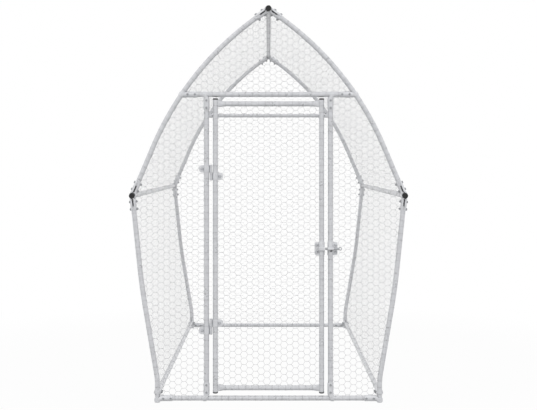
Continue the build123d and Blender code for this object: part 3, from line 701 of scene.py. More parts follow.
net_tree, given = new_tree(
    "Hexagonal netting",
    {
        "Path": "Object",
        "Along": "Vector",
        "Cell": "Float",
        "Wire": "Float",
        "Strand": "Float",
        "Unevenness": "Float",
        "Finish": "Material",
    },
)
net_node = partial(add_node, net_tree)
MATHS, VECTOR_MATHS = "ShaderNodeMath", "ShaderNodeVectorMath"
SPLIT, STORE = "ShaderNodeSeparateXYZ", "GeometryNodeStoreNamedAttribute"
STORED = "GeometryNodeInputNamedAttribute"

# Hexagons in columns over the outline's box, every second column half a cell higher.
outline = given["Geometry"]
box = net_node("GeometryNodeBoundBox", {"Geometry": outline}).outputs
corner = net_node(SPLIT, {"Vector": box["Min"]}).outputs
room = net_node(VECTOR_MATHS, {0: box["Max"], 1: box["Min"]}, operation="SUBTRACT")
room = net_node(SPLIT, {"Vector": room}).outputs
pitch = net_node(MATHS, {0: given["Cell"], 1: sqrt(3) / 2}, operation="MULTIPLY")
counts = []
for span, step in ((room["X"], pitch), (room["Y"], given["Cell"])):
    count = net_node(MATHS, {0: span, 1: step}, operation="DIVIDE")
    count = net_node(MATHS, {0: count}, operation="CEIL")
    counts.append(net_node(MATHS, {0: count, 1: SPARE_CELLS}, operation="ADD"))
columns, rows = counts
index = net_node("GeometryNodeInputIndex")
column = net_node(MATHS, {0: index, 1: rows}, operation="DIVIDE")
column = net_node(MATHS, {0: column}, operation="FLOOR")
row = net_node(MATHS, {0: column, 1: rows}, operation="MULTIPLY")
row = net_node(MATHS, {0: index, 1: row}, operation="SUBTRACT")
stagger = net_node(MATHS, {0: column, 1: 2}, operation="MODULO")
stagger = net_node(MATHS, {0: stagger, 1: 2}, operation="DIVIDE")
across = net_node(MATHS, {0: column, 1: 1}, operation="SUBTRACT")
across = net_node(MATHS, {0: across, 1: pitch, 2: corner["X"]}, operation="MULTIPLY_ADD")
rise = net_node(MATHS, {0: row, 1: 1}, operation="SUBTRACT")
rise = net_node(MATHS, {0: rise, 1: stagger}, operation="ADD")
rise = net_node(MATHS, {0: rise, 1: given["Cell"], 2: corner["Y"]}, operation="MULTIPLY_ADD")
centre = net_node("ShaderNodeCombineXYZ", {"X": across, "Y": rise})
count = net_node(MATHS, {0: columns, 1: rows}, operation="MULTIPLY")
centres = net_node("GeometryNodePoints", {"Count": count, "Position": centre})
radius = net_node(MATHS, {0: given["Cell"], 1: sqrt(3)}, operation="DIVIDE")
cell = net_node("GeometryNodeMeshCircle", {"Vertices": HEX_SIDES, "Radius": radius})
cells = net_node("GeometryNodeInstanceOnPoints", {"Points": centres, "Instance": cell})
cells = net_node("GeometryNodeRealizeInstances", {"Geometry": cells})
near = net_node(MATHS, {0: given["Cell"], 1: TOUCHING_SHARE}, operation="MULTIPLY")
web = net_node("GeometryNodeMergeByDistance", {"Geometry": cells, "Distance": near})

# The level sides are noted as twisted, and every corner is moved a little out of true.
ends = net_node("GeometryNodeInputMeshEdgeVertices").outputs
run = net_node(VECTOR_MATHS, {0: ends["Position 2"], 1: ends["Position 1"]}, operation="SUBTRACT")
rise = net_node(SPLIT, {"Vector": run}).outputs["Y"]
rise = net_node(MATHS, {0: rise}, operation="ABSOLUTE")
limit = net_node(MATHS, {0: given["Cell"], 1: LEVEL_SHARE}, operation="MULTIPLY")
level = net_node(MATHS, {0: rise, 1: limit}, operation="LESS_THAN")
noted = {"Geometry": web, "Name": "twisted", "Value": level}
web = net_node(STORE, noted, data_type="FLOAT", domain="EDGE")
spot = net_node("GeometryNodeInputPosition")
sway = net_node(MATHS, {0: SWAYS_IN_CELL, 1: given["Cell"]}, operation="DIVIDE")
sway = net_node("ShaderNodeTexNoise", {"Vector": spot, "Scale": sway, "Detail": 1})
sway = {0: sway.outputs["Color"], 1: (0.5, 0.5, 0.5)}
sway = net_node(VECTOR_MATHS, sway, operation="SUBTRACT")
sway = net_node(VECTOR_MATHS, {0: sway, "Scale": given["Unevenness"]}, operation="SCALE")
web = net_node("GeometryNodeSetPosition", {"Geometry": web, "Offset": sway})

# Wires with both ends outside the outline go. Where one end is outside, it is drawn to the edge.
above = net_node(VECTOR_MATHS, {0: spot, 1: (0, 0, RAY_START)}, operation="ADD")
ray = {"Source Position": above, "Ray Direction": DOWN, "Ray Length": 1}
within = net_node("GeometryNodeRaycast", {"Target Geometry": outline, **ray})
noted = {"Geometry": web, "Name": "within", "Value": within}
web = net_node(STORE, noted, data_type="FLOAT", domain="POINT")
within = net_node(STORED, {"Name": "within"}, data_type="FLOAT")
gone = net_node(MATHS, {0: within, 1: 0.25}, operation="LESS_THAN")
web = net_node("GeometryNodeDeleteGeometry", {"Geometry": web, "Selection": gone}, domain="EDGE")
loose = net_node(MATHS, {0: within, 1: 0.5}, operation="LESS_THAN")
edge = net_node("GeometryNodeProximity", {0: outline}, target_element="EDGES")
web = net_node("GeometryNodeSetPosition", {"Geometry": web, "Selection": loose, "Position": edge})
noted = {"Geometry": web, "Name": "run", "Value": run}
web = net_node(STORE, noted, data_type="FLOAT_VECTOR", domain="EDGE")

# A single wire follows each slanting side. Two strands wind round each other on each level side.
twisted = net_node(STORED, {"Name": "twisted"}, data_type="FLOAT")
slanting = net_node(MATHS, {0: twisted, 1: 0.5}, operation="LESS_THAN")
single = net_node("GeometryNodeMeshToCurve", {"Mesh": web, "Selection": slanting})
half_wire = net_node(MATHS, {0: given["Wire"], 1: 2}, operation="DIVIDE")
single = round_along(net_tree, single, WIRE_SIDES, half_wire)
half_strand = net_node(MATHS, {0: given["Strand"], 1: 2}, operation="DIVIDE")
winding = {"Start Radius": half_strand, "End Radius": half_strand, "Rotations": 1, "Height": 1}
strand = net_node("GeometryNodeCurveSpiral", {"Resolution": TWIST_STEPS, **winding})
strand = round_along(net_tree, strand, WIRE_SIDES, half_strand)
pair = net_node("GeometryNodeJoinGeometry")
for turn in (0, pi):
    laid = {"Geometry": strand, "Translation": (0, 0, -0.5), "Rotation": (0, 0, turn)}
    connect(net_tree, pair, {"Geometry": net_node("GeometryNodeTransform", laid)})
level = net_node(MATHS, {0: twisted, 1: 0.5}, operation="GREATER_THAN")
twists = net_node("GeometryNodeMeshToPoints", {"Mesh": web, "Selection": level}, mode="EDGES")
run = net_node(STORED, {"Name": "run"}, data_type="FLOAT_VECTOR")
length = net_node(VECTOR_MATHS, {0: run}, operation="LENGTH").outputs["Value"]
stretch = net_node("ShaderNodeCombineXYZ", {"X": 1, "Y": 1, "Z": length})
aligned = net_node("FunctionNodeAlignRotationToVector", {"Vector": run}, axis="Z")
laid = {"Points": twists, "Instance": pair, "Rotation": aligned, "Scale": stretch}
twists = net_node("GeometryNodeInstanceOnPoints", laid)
netting = net_node("GeometryNodeJoinGeometry")
for wires in (single, twists):
    connect(net_tree, netting, {"Geometry": wires})
netting = net_node("GeometryNodeRealizeInstances", {"Geometry": netting})

# The flat net is strung along its path: its height runs on the path, its width beside it.
flat = net_node(SPLIT, {"Vector": spot}).outputs
path = net_node("GeometryNodeObjectInfo", {"Object": given["Path"]}).outputs["Geometry"]
on_path = {"Curves": path, "Length": flat["Y"]}
on_path = net_node("GeometryNodeSampleCurve", on_path, mode="LENGTH").outputs
square = {0: given["Along"], 1: on_path["Tangent"]}
outward = net_node(VECTOR_MATHS, square, operation="CROSS_PRODUCT")
strung = on_path["Position"]
for way, reach in ((given["Along"], flat["X"]), (outward, flat["Z"])):
    reach = net_node(VECTOR_MATHS, {0: way, "Scale": reach}, operation="SCALE")
    strung = net_node(VECTOR_MATHS, {0: strung, 1: reach}, operation="ADD")
netting = net_node("GeometryNodeSetPosition", {"Geometry": netting, "Position": strung})
end_tree(net_tree, netting, given["Finish"])


def rounded(corners, bends):
    """Points of a tube's line with its bends rounded."""
    points = [corners[0]]
    for before, tip, after, bend in zip(corners, corners[1:], corners[2:], bends[1:]):
        way_in, way_out = (tip - before).normalized(), (after - tip).normalized()
        turn = way_in.angle(way_out)
        inside = (way_out - way_in).normalized()
        pivot = tip + inside * (bend / cos(turn / 2))
        spoke = tip - way_in * (bend * tan(turn / 2)) - pivot
        axis = way_in.cross(way_out).normalized()
        for step in range(BEND_STEPS + 1):
            points.append(pivot + Matrix.Rotation(turn * step / BEND_STEPS, 3, axis) @ spoke)
    return points + [corners[-1]]


def add_net(name, outline_points, path_points, along, wire, strand, body):
    """Netting over an outline, laid flat and then strung along a path."""
    shape = bpy.data.meshes.new(name)
    shape.from_pydata([(u, v, 0) for u, v in outline_points], [], [range(len(outline_points))])
    line = bpy.data.curves.new(f"{name}_path", "CURVE")
    line.dimensions = "3D"
    spline = line.splines.new("POLY")
    spline.points.add(len(path_points) - 1)
    spline.points.foreach_set("co", [c for p in path_points for c in (*p, 1)])
    path_object = helper(f"{name}_path", line)
    values = {
        "Path": path_object,
        "Along": along,
        "Cell": CELL,
        "Wire": wire,
        "Strand": strand,
        "Unevenness": UNEVENNESS,
        "Finish": GALVANISED_WIRE,
    }
    mesh = grow(name, shape, net_tree, values)
    bpy.data.objects.remove(path_object)
    add_piece(f"{name}_wire", mesh, body, "wire_netting", name)


def mirrored(line):
    """The other half of an outline, in the order that closes it."""
    return [(-x, z) for x, z in reversed(line)]


for side_name, side in (("left", -1), ("right", 1)):
    rail = Vector((side * FOOT.x, 0, SIDE_RAIL_HEIGHT))
    for panel, line in (
        ("side", [rail, place(SHOULDER, side, 0)]),
        ("roof", rounded(arch_corners(side, 0, 0), ARCH_BENDS)),
    ):
        reach, rise = HOOP_Y, sum((b - a).length for a, b in zip(line, line[1:]))
        corners = [(-reach, 0), (reach, 0), (reach, rise), (-reach, rise)]
        add_net(f"{side_name}_{panel}_net", corners, line, (0, 1, 0), *FINE_WIRE, "frame")

STILE_X = middle("door_latch_stile").x
DOOR_LOW, DOOR_HIGH = middle("door_bottom_rail").z, middle("door_top_rail").z
arch_line = [(p.x, p.z) for p in rounded(arch_corners(1, 0, 0), ARCH_BENDS)]
leg_line = [(p.x, p.z) for p in rounded(leg_corners(1, 0, 0), LEG_BENDS)]
lintel_point = (LINTEL.x, LINTEL.z)
above_header = [lintel_point] + [p for p in arch_line if p[1] > HEADER_HEIGHT]
below_header = [p for p in reversed(leg_line) if p[1] > BOTTOM_RAIL_HEIGHT]
below_header += [p for p in arch_line[1:] if p[1] < HEADER_HEIGHT] + [lintel_point]
gable = above_header + mirrored(above_header)[1:]
wall = [(FOOT.x, BOTTOM_RAIL_HEIGHT)] + below_header
strip = [(POST_X, BOTTOM_RAIL_HEIGHT)] + wall + [(POST_X, HEADER_HEIGHT)]
door_outline = [
    (-STILE_X, DOOR_LOW),
    (STILE_X, DOOR_LOW),
    (STILE_X, DOOR_HIGH),
    (-STILE_X, DOOR_HIGH),
]
FLAT_NETS = {
    "front_gable_net": (gable, -HOOP_Y, "frame"),
    "rear_gable_net": (gable, HOOP_Y, "frame"),
    "rear_wall_net": (wall + mirrored(wall), HOOP_Y, "frame"),
    "front_left_net": (mirrored(strip), -HOOP_Y, "frame"),
    "front_right_net": (strip, -HOOP_Y, "frame"),
    "door_net": (door_outline, -HOOP_Y, "door"),
}
for name, (points, y, body) in FLAT_NETS.items():
    upright = [Vector((0, y, 0)), Vector((0, y, RIDGE.z))]
    add_net(name, points, upright, (1, 0, 0), *(FRONT_WIRE if y < 0 else FINE_WIRE), body)


# Ties: the cut ends of the netting's wires, wound by hand one and a third times round the tube, so
# no two lie quite alike. Iron wire, at every cell, and on the long rails at every fourth.
TIE_TURNS = 1.35
TIE_STEPS = 14
TIE_SPREAD = 0.0025
TIE_TILT = 0.09
TIE_THICKNESS = 0.0008
TIE_SEED = 7
LONG_RAIL_CELLS = 4

# A pale, flat grey with little gleam, darker than the tubes: the darker tone is painted shade, so
# the wound ends read as shaded dashes along the tubes. Its clouding is drawn 4 mm wide to show.
TIE_WIRE_WITH_SHADE = zinc_finish("dulled_iron_wire", "#b8b9bc", "#a2a3a6", 0.004, 0.45, 0.4)

tie_tree, given = new_tree(
    "Wound wire ends",
    {"Pitch": "Float", "Radius": "Float", "Wire": "Float", "Seed": "Int", "Finish": "Material"},
)
tie_node = partial(add_node, tie_tree)
tie_line = {"Curve": bent_lines(tie_tree, given["Geometry"]), "Length": given["Pitch"]}
tie_points = tie_node("GeometryNodeCurveToPoints", tie_line, mode="LENGTH").outputs
winding = {"Start Radius": given["Radius"], "End Radius": given["Radius"], "Height": TIE_SPREAD}
tie_coil = {"Resolution": TIE_STEPS, "Rotations": TIE_TURNS, **winding}
tie_coil = tie_node("GeometryNodeCurveSpiral", tie_coil)
tie_wire = round_along(tie_tree, tie_coil, WIRE_SIDES, given["Wire"], capped=True)
tie_spin = {"Min": (-TIE_TILT, -TIE_TILT, 0), "Max": (TIE_TILT, TIE_TILT, 2 * pi)}
tie_spin = tie_node(
    "FunctionNodeRandomValue", {**tie_spin, "Seed": given["Seed"]}, data_type="FLOAT_VECTOR"
)
tie_spin = tie_node("FunctionNodeEulerToRotation", {"Euler": tie_spin})
tie_turn = {"Rotation": tie_points["Rotation"], "Rotate By": tie_spin}
tie_turn = tie_node("FunctionNodeRotateRotation", tie_turn, rotation_space="LOCAL")
tie_set = {"Points": tie_points["Points"], "Instance": tie_wire, "Rotation": tie_turn}
tie_set = tie_node("GeometryNodeInstanceOnPoints", tie_set)
end_tree(tie_tree, tie_set, given["Finish"])


def wound_ties(name, lines, pitch):
    """Wound wire ends along tubes, a pitch apart."""
    values = {
        "Pitch": pitch,
        "Radius": TUBE_RADIUS + TIE_THICKNESS / 2,
        "Wire": TIE_THICKNESS / 2,
        "Seed": TIE_SEED,
        "Finish": TIE_WIRE_WITH_SHADE,
    }
    return grow(name, lines_mesh(name, lines), tie_tree, values)


LAST_TIE = FOOT + Vector((0, 0, SIDE_RAIL_HEIGHT))
tie_lines = list(cross_lines)
for hoop_y in (-HOOP_Y, HOOP_Y):
    for side in SIDES:
        leg = leg_corners(side, hoop_y, TUBE_SETBACK)[:-1] + [place(LAST_TIE, side, hoop_y)]
        tie_lines.append((arch_corners(side, hoop_y, TUBE_SETBACK), ARCH_BENDS))
        tie_lines.append((leg, LEG_BENDS))
hoop_ties = wound_ties("hoop_ties", tie_lines, CELL)
rail_ties = wound_ties("rail_ties", rail_lines, LONG_RAIL_CELLS * CELL)
add_piece("frame_ties", joined("frame_ties", [hoop_ties, rail_ties]), "frame", "wire_netting")


# Door stiles: the two uprights of the door, capped at both ends.
# The same galvanised tube, with black plastic plugs like the rails' but hardly wider than the tube.
STILES = ("door_hinge_stile", "door_latch_stile")
STILE_COLLAR = 0.002
STILE_CAP_LIP = 0.0005
stile_lines = [axis_line(node) for node in STILES]
add_tubes("door_stiles", stile_lines, "door", *STILES)
stile_cap = cap_shape("stile_cap", TUBE_RADIUS + STILE_CAP_LIP, CAP_HEIGHT + STILE_COLLAR)
stile_cap_places = []
for (low, high), _ in stile_lines:
    for tip, way in ((high, UP), (low, DOWN)):
        seat = tip - Vector(way) * STILE_COLLAR
        stile_cap_places.append(frame_at(seat, (1, 0, 0), way))
stile_caps = copies("stile_caps", stile_cap, stile_cap_places)
add_piece("stile_caps", stile_caps, "door", "black_plastic", "door_stile_caps")


# Door rails: top and bottom, round in the middle and pressed into flat fish-tails at the stiles.
# Galvanised tube, flattened in a press, coped and welded to the stiles all round. The door's net is
# tied to them and to the stiles like the others.
FLARE_HALF_HEIGHT = (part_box("door_top_rail")[1].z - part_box("door_top_rail")[0].z) / 2
FLARE_HALF_DEPTH = 0.004
FLARE_LENGTH = 0.027
FLARE_ROOT = STILE_X - TUBE_RADIUS - FLARE_LENGTH
FLARE_FLATNESS = 0.55
FLARE_STEPS = 8
WELD_RADIUS = 0.0013
WELD_SIDES = 8
WELD_POINTS = 28


def flat_ring(share, along, height):
    """Section of a door rail, from round to flattened, at a place along the rail."""
    tall = TUBE_RADIUS + (FLARE_HALF_HEIGHT - TUBE_RADIUS) * share
    deep = TUBE_RADIUS + (FLARE_HALF_DEPTH - TUBE_RADIUS) * share
    ring = []
    for i in range(TUBE_SIDES):
        turn = 2 * pi * i / TUBE_SIDES
        flatness = abs(cos(turn)) ** (1 - FLARE_FLATNESS * share)
        depth = deep * (flatness if cos(turn) > 0 else -flatness)
        ring.append(Vector((along, -HOOP_Y + depth, height + tall * sin(turn))))
    return ring


def weld_line(side, height):
    """Closed line of a weld round the flattened end of a rail, on the face of its stile."""
    line = []
    for i in range(WELD_POINTS):
        turn = 2 * pi * i / WELD_POINTS
        flatness = abs(cos(turn)) ** (1 - FLARE_FLATNESS)
        depth = FLARE_HALF_DEPTH * (flatness if cos(turn) > 0 else -flatness)
        reach = side * (STILE_X - sqrt(TUBE_RADIUS**2 - depth**2))
        line.append(Vector((reach, -HOOP_Y + depth, height + FLARE_HALF_HEIGHT * sin(turn))))
    return line


half = [(STILE_X - TUBE_RADIUS / 2, 1)]
for step in range(FLARE_STEPS + 1):
    share = 1 - step / FLARE_STEPS
    half.append((FLARE_ROOT + FLARE_LENGTH * share, smooth(share)))
stations = [(-x, share) for x, share in half] + half[::-1]
rail_meshes, weld_lines, door_tie_lines = [], [], list(stile_lines)
for height in (DOOR_LOW, DOOR_HIGH):
    rings = [flat_ring(share, x, height) for x, share in stations]
    rail_meshes.append(ring_shape("door_rail", rings, GALVANISED_TUBE))
    weld_lines += [(weld_line(side, height), (0,) * WELD_POINTS) for side in SIDES]
    roots = [Vector((side * FLARE_ROOT, -HOOP_Y, height)) for side in SIDES]
    door_tie_lines.append((roots, (0, 0)))
DOOR_RAILS = ("door_top_rail", "door_bottom_rail")
add_piece("door_rails", joined("door_rails", rail_meshes), "door", "galvanised_tube", *DOOR_RAILS)
weld_values = {"Radius": WELD_RADIUS, "Sides": WELD_SIDES, "Finish": GALVANISED_TUBE}
weld_loops = lines_mesh("door_welds", weld_lines, closed=True)
welds = grow("door_welds", weld_loops, tube_tree, weld_values)
add_piece("door_welds", welds, "door", "galvanised_tube")
add_piece("door_ties", wound_ties("door_ties", door_tie_lines, CELL), "door", "wire_netting")


# Hinges: a strap leaf folded round the post and one round the door stile, each with a neck from its
# back ply to a rolled knuckle on one pin. Zinc-plated sheet steel. A strap's two ears are drawn
# together by a round-headed bolt and nut.
LEAF_STRAP = 0.002
LEAF_PLAY = 0.0001
LEAF_RADIUS = TUBE_RADIUS + LEAF_PLAY + LEAF_STRAP / 2
EAR_GAP = 0.003
EAR_OFFSET = (EAR_GAP + LEAF_STRAP) / 2
EAR_BEND = 0.0016
EAR_BEND_STEPS = 4
EAR_CORNER = 0.0125
EAR_LENGTH = 0.020
SLOT_INSET = 0.0004
SLOT_WIDTH = 0.0026
CORNER_STEPS = 6
FOLD_STEPS = 12
UP_STEPS = 6
KNUCKLE_RADIUS = 0.0052
KNUCKLE_PLAY = 0.0001
KNUCKLE_EDGE = 0.0006
PIN_RADIUS = 0.003
PIN_HEAD_RADIUS = 0.0042
PIN_HEAD_HEIGHT = 0.0012
PIN_EDGE = 0.0005
PIN_SIDES = 24
HINGE = middle("upper_hinge_pin")
AT_HINGE = Matrix.Translation((HINGE.x, HINGE.y, 0))
ROUND_HEAD_RADIUS = 0.0055
ROUND_HEAD_HEIGHT = 0.0032
ROUND_HEAD_RIM = 0.0008
ROUND_HEAD_STEPS = 6
ROUND_HEAD_SIDES = 20
EAR_BOLT_SINK = 0.0002
EAR_FACE = EAR_GAP / 2 + LEAF_STRAP - EAR_BOLT_SINK

# Bright zinc on turned steel gleams more than the straps do. Its grain is drawn 4 mm wide to show.
BRIGHT_ZINC = zinc_finish("bright_zinc_hardware", "#c5c7ca", "#aaacb0", 0.004, 0.3, 0.6)


def strap_rows(centre, away, ear, height, corner):
    """Middle surface of a strap folded round an upright tube, from one ear's tip to the other's."""
    tip, tall = TUBE_RADIUS + ear, height / 2
    bend_x = sqrt((LEAF_RADIUS + EAR_BEND) ** 2 - (EAR_OFFSET + EAR_BEND) ** 2)
    start = atan2(EAR_OFFSET + EAR_BEND, bend_x)
    half = []
    for step in range(CORNER_STEPS + 1):
        turn = pi / 2 * step / CORNER_STEPS
        rise = tall - corner + corner * sin(turn)
        half.append((tip - corner + corner * cos(turn), EAR_OFFSET, rise))
    for inset in (SLOT_INSET + SLOT_WIDTH, SLOT_INSET):
        half.append((bend_x + inset, EAR_OFFSET, tall))
    for step in range(EAR_BEND_STEPS + 1):
        turn = -pi / 2 - (pi / 2 - start) * step / EAR_BEND_STEPS
        out = EAR_OFFSET + EAR_BEND + EAR_BEND * sin(turn)
        half.append((bend_x + EAR_BEND * cos(turn), out, tall))
    for step in range(1, FOLD_STEPS + 1):
        turn = start + (pi - start) * step / FOLD_STEPS
        half.append((LEAF_RADIUS * cos(turn), LEAF_RADIUS * sin(turn), tall))
    full = half + [(x, -y, rise) for x, y, rise in reversed(half[:-1])]
    shares = [2 * i / UP_STEPS - 1 for i in range(UP_STEPS + 1)]
    return [
        [centre + Vector((away * x, y, rise * share)) for share in shares] for x, y, rise in full
    ]


def sleeve(name, inner, outer, bottom, top, edge):
    """A short steel tube about Z with its outer edges broken."""
    profile = [
        (inner, bottom),
        (outer - edge, bottom),
        (outer, bottom + edge),
        (outer, top - edge),
        (outer - edge, top),
        (inner, top),
    ]
    return turned(name, profile, TUBE_SIDES, PRESSED_ZINC, closed=True)


def moved(mesh, matrix):
    """A copy of a mesh, placed by a matrix."""
    copy = mesh.copy()
    copy.transform(matrix)
    return copy


round_profile = [(ROUND_HEAD_RADIUS, 0)]
for step in range(ROUND_HEAD_STEPS):
    lift = pi / 2 * step / ROUND_HEAD_STEPS
    rise = ROUND_HEAD_RIM + (ROUND_HEAD_HEIGHT - ROUND_HEAD_RIM) * sin(lift)
    round_profile.append((ROUND_HEAD_RADIUS * cos(lift), rise))
ROUND_HEAD = turned("round_head", round_profile, ROUND_HEAD_SIDES, BRIGHT_ZINC)


def ear_bolts(name, spots):
    """Round-headed bolts through ears at these places, heads in front and nuts behind."""
    meshes = []
    for label, shape, way in (("heads", ROUND_HEAD, -1), ("nuts", BOLT_NUT, 1)):
        seat = Vector((0, way * EAR_FACE, 0))
        places = [frame_at(spot + seat, (1, 0, 0), (0, way, 0)) for spot in spots]
        meshes.append(copies(f"{name}_{label}", shape, places))
    return joined(name, meshes)


HINGE_SIDES = {"post": ("frame", -POST_X, -1), "door": ("door", -STILE_X, 1)}
for owner, (body, tube_x, away) in HINGE_SIDES.items():
    bolt_spots = []
    for level in ("upper", "lower"):
        node = f"{level}_hinge_{owner}_leaf"
        low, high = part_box(node)
        centre = Vector((tube_x, -HOOP_Y, (high.z + low.z) / 2))
        rows = strap_rows(centre, away, EAR_LENGTH, high.z - low.z, EAR_CORNER)
        strap = strap_from_rows(node, rows, LEAF_STRAP, PRESSED_ZINC)
        bore = PIN_RADIUS + KNUCKLE_PLAY
        knuckle = sleeve("knuckle", bore, KNUCKLE_RADIUS, low.z, high.z, KNUCKLE_EDGE)
        neck_back = HINGE.y + KNUCKLE_RADIUS
        neck_in = sqrt(LEAF_RADIUS**2 - (KNUCKLE_RADIUS - LEAF_STRAP / 2) ** 2)
        neck_root = tube_x - away * neck_in
        neck_plan = [
            (neck_root, neck_back - LEAF_STRAP),
            (HINGE.x, neck_back - LEAF_STRAP),
            (HINGE.x, neck_back),
            (neck_root, neck_back),
        ]
        neck_rings = [[Vector((x, y, z)) for x, y in neck_plan] for z in (low.z, high.z)]
        neck = ring_shape("neck", neck_rings, PRESSED_ZINC)
        leaf = joined(node, [strap, moved(knuckle, AT_HINGE), neck])
        add_piece(f"{node}_strap", leaf, body, "zinc_hardware", node)
        ear_reach = away * (TUBE_RADIUS + EAR_LENGTH - EAR_CORNER)
        bolt_spots.append(centre + Vector((ear_reach, 0, 0)))
    bolts = f"{owner}_leaf_bolts"
    add_piece(bolts, ear_bolts(bolts, bolt_spots), body, "zinc_hardware")
PIN_END = (
    (PIN_HEAD_RADIUS - PIN_EDGE, 0),
    (PIN_HEAD_RADIUS, PIN_EDGE),
    (PIN_HEAD_RADIUS, PIN_HEAD_HEIGHT),
    (PIN_RADIUS, PIN_HEAD_HEIGHT),
)
for level in ("upper", "lower"):
    node = f"{level}_hinge_pin"
    low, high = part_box(node)
    pin_profile = [(r, low.z + h) for r, h in PIN_END]
    pin_profile += [(r, high.z - h) for r, h in reversed(PIN_END)]
    pin = turned(node, pin_profile, PIN_SIDES, BRIGHT_ZINC)
    add_piece(f"{node}_rod", moved(pin, AT_HINGE), "frame", "zinc_hardware", node)


# Latch: a guide strapped to the right post and a keeper strapped to the door, for a round bolt that
# slides by its eye. Zinc-plated steel: folded straps, a welded barrel with a stop screw below it on
# the guide, and a bent staple and two slots punched in the front ear of the keeper.
LATCH_EAR = 0.017
LATCH_CORNER = 0.006
LATCH_BOLT_RISE = 0.0135
LATCH_BOLT_INSET = 0.0065
ROD_RADIUS = 0.0045
BARREL_PLAY = 0.0004
BARREL_WALL = 0.0016
BARREL_EDGE = 0.0005
BARREL_INNER = ROD_RADIUS + BARREL_PLAY
BARREL_OUTER = BARREL_INNER + BARREL_WALL
STAPLE_ROOM = 0.012
STAPLE_WALL = 0.0016
STAPLE_CORNER = 0.003
STAPLE_STEPS = 7
STRAP_REACH = LEAF_RADIUS + LEAF_STRAP / 2
SLOT_ROW = -CORNER_STEPS - 3
SLOT_COLUMNS = (1, UP_STEPS - 2)
LATCH_Z = middle("latch_bolt").z
ROD_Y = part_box("latch_bolt")[0].y + ROD_RADIUS


def staple_ring(half, corner, along):
    """A square ring with round corners, across the sliding bolt."""
    ring = []
    for turn in (pi / 4, 3 * pi / 4, 5 * pi / 4, 7 * pi / 4):
        y = ROD_Y + (half - corner) * (1 if cos(turn) > 0 else -1)
        z = LATCH_Z + (half - corner) * (1 if sin(turn) > 0 else -1)
        for step in range(STAPLE_STEPS + 1):
            sweep = turn - pi / 4 + pi / 2 * step / STAPLE_STEPS
            ring.append(Vector((along, y + corner * cos(sweep), z + corner * sin(sweep))))
    return ring


def latch_plate(name, tube_x, away, slots=()):
    """A strap with ears for one half of the latch, with slots in some columns of its front ear."""
    low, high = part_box(name)
    centre = Vector((tube_x, -HOOP_Y, (low.z + high.z) / 2))
    rows = strap_rows(centre, away, LATCH_EAR, high.z - low.z, LATCH_CORNER)
    holes = {(len(rows) + SLOT_ROW, column) for column in slots}
    return strap_from_rows(name, rows, LEAF_STRAP, PRESSED_ZINC, holes)


def add_latch_bolts(name, tube_x, away, body):
    """The two bolts through the ears of one half of the latch."""
    reach = tube_x + away * (TUBE_RADIUS + LATCH_EAR - LATCH_BOLT_INSET)
    heights = (LATCH_Z - LATCH_BOLT_RISE, LATCH_Z + LATCH_BOLT_RISE)
    bolts = ear_bolts(name, [Vector((reach, -HOOP_Y, height)) for height in heights])
    add_piece(name, bolts, body, "zinc_hardware")


ACROSS_X = frame_at((0, ROD_Y, LATCH_Z), DOWN, (1, 0, 0))
barrel_ends = (POST_X - STRAP_REACH, POST_X + STRAP_REACH)
barrel = sleeve("barrel", BARREL_INNER, BARREL_OUTER, *barrel_ends, BARREL_EDGE)
guide = joined("latch_guide", [latch_plate("latch_guide", POST_X, 1), moved(barrel, ACROSS_X)])
add_piece("latch_guide_strap", guide, "frame", "zinc_hardware", "latch_guide")
add_latch_bolts("latch_guide_bolts", POST_X, 1, "frame")

# A dark grey steel with a low gleam: the dark tone is painted shade, the shadow below the barrel,
# so the screw reads as a dark dot there.
# Its clouding is drawn 3 mm wide to show.
SCREW_PAINTED_SHADE = zinc_finish("blackened_steel_screw", "#4a4b4d", "#38393b", 0.003, 0.35, 0.6)
SCREW_OFFSET = 0.002
SCREW_X = POST_X + SCREW_OFFSET
SCREW_SIDES = 20
SCREW_SHANK = 0.002
SCREW_HEAD = 0.0043
SCREW_GRIP = 0.0008
SCREW_HEAD_HEIGHT = 0.0034
SCREW_EDGE = 0.0006
SCREW_SINK = 0.0006
barrel_foot = LATCH_Z - BARREL_OUTER
head_top = barrel_foot - SCREW_GRIP
head_low = head_top - SCREW_HEAD_HEIGHT
screw_profile = [
    (SCREW_HEAD - SCREW_EDGE, head_low),
    (SCREW_HEAD, head_low + SCREW_EDGE),
    (SCREW_HEAD, head_top),
    (SCREW_SHANK, head_top),
    (SCREW_SHANK, barrel_foot + SCREW_SINK),
]
screw = turned("stop_screw", screw_profile, SCREW_SIDES, SCREW_PAINTED_SHADE)
screw = moved(screw, Matrix.Translation((SCREW_X, ROD_Y, 0)))
add_piece("latch_stop_screw", screw, "frame", "zinc_hardware")

staple_inner = (STAPLE_ROOM / 2, STAPLE_CORNER - STAPLE_WALL)
staple_outer = (STAPLE_ROOM / 2 + STAPLE_WALL, STAPLE_CORNER)
staple_low, staple_high = STILE_X - STRAP_REACH, STILE_X + STRAP_REACH
staple_rings = [
    staple_ring(*staple_inner, staple_low),
    staple_ring(*staple_outer, staple_low),
    staple_ring(*staple_outer, staple_high),
    staple_ring(*staple_inner, staple_high),
]
staple = ring_shape("staple", staple_rings, PRESSED_ZINC, closed=True)
keeper = joined("latch_keeper", [latch_plate("latch_keeper", STILE_X, -1, SLOT_COLUMNS), staple])
add_piece("latch_keeper_strap", keeper, "door", "zinc_hardware", "latch_keeper")
add_latch_bolts("latch_keeper_bolts", STILE_X, -1, "door")

# A rod polished by sliding keeps a close, even grey with a tighter gleam than the straps.
# Its clouding is drawn 4 mm wide to show.
POLISHED_ROD = zinc_finish("polished_zinc_rod", "#b2b4b7", "#a2a4a7", 0.004, 0.25, 0.35)
bolt_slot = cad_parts["latch_bolt"].material_slots[0]
bolt_slot.link = "OBJECT"
bolt_slot.material = POLISHED_ROD


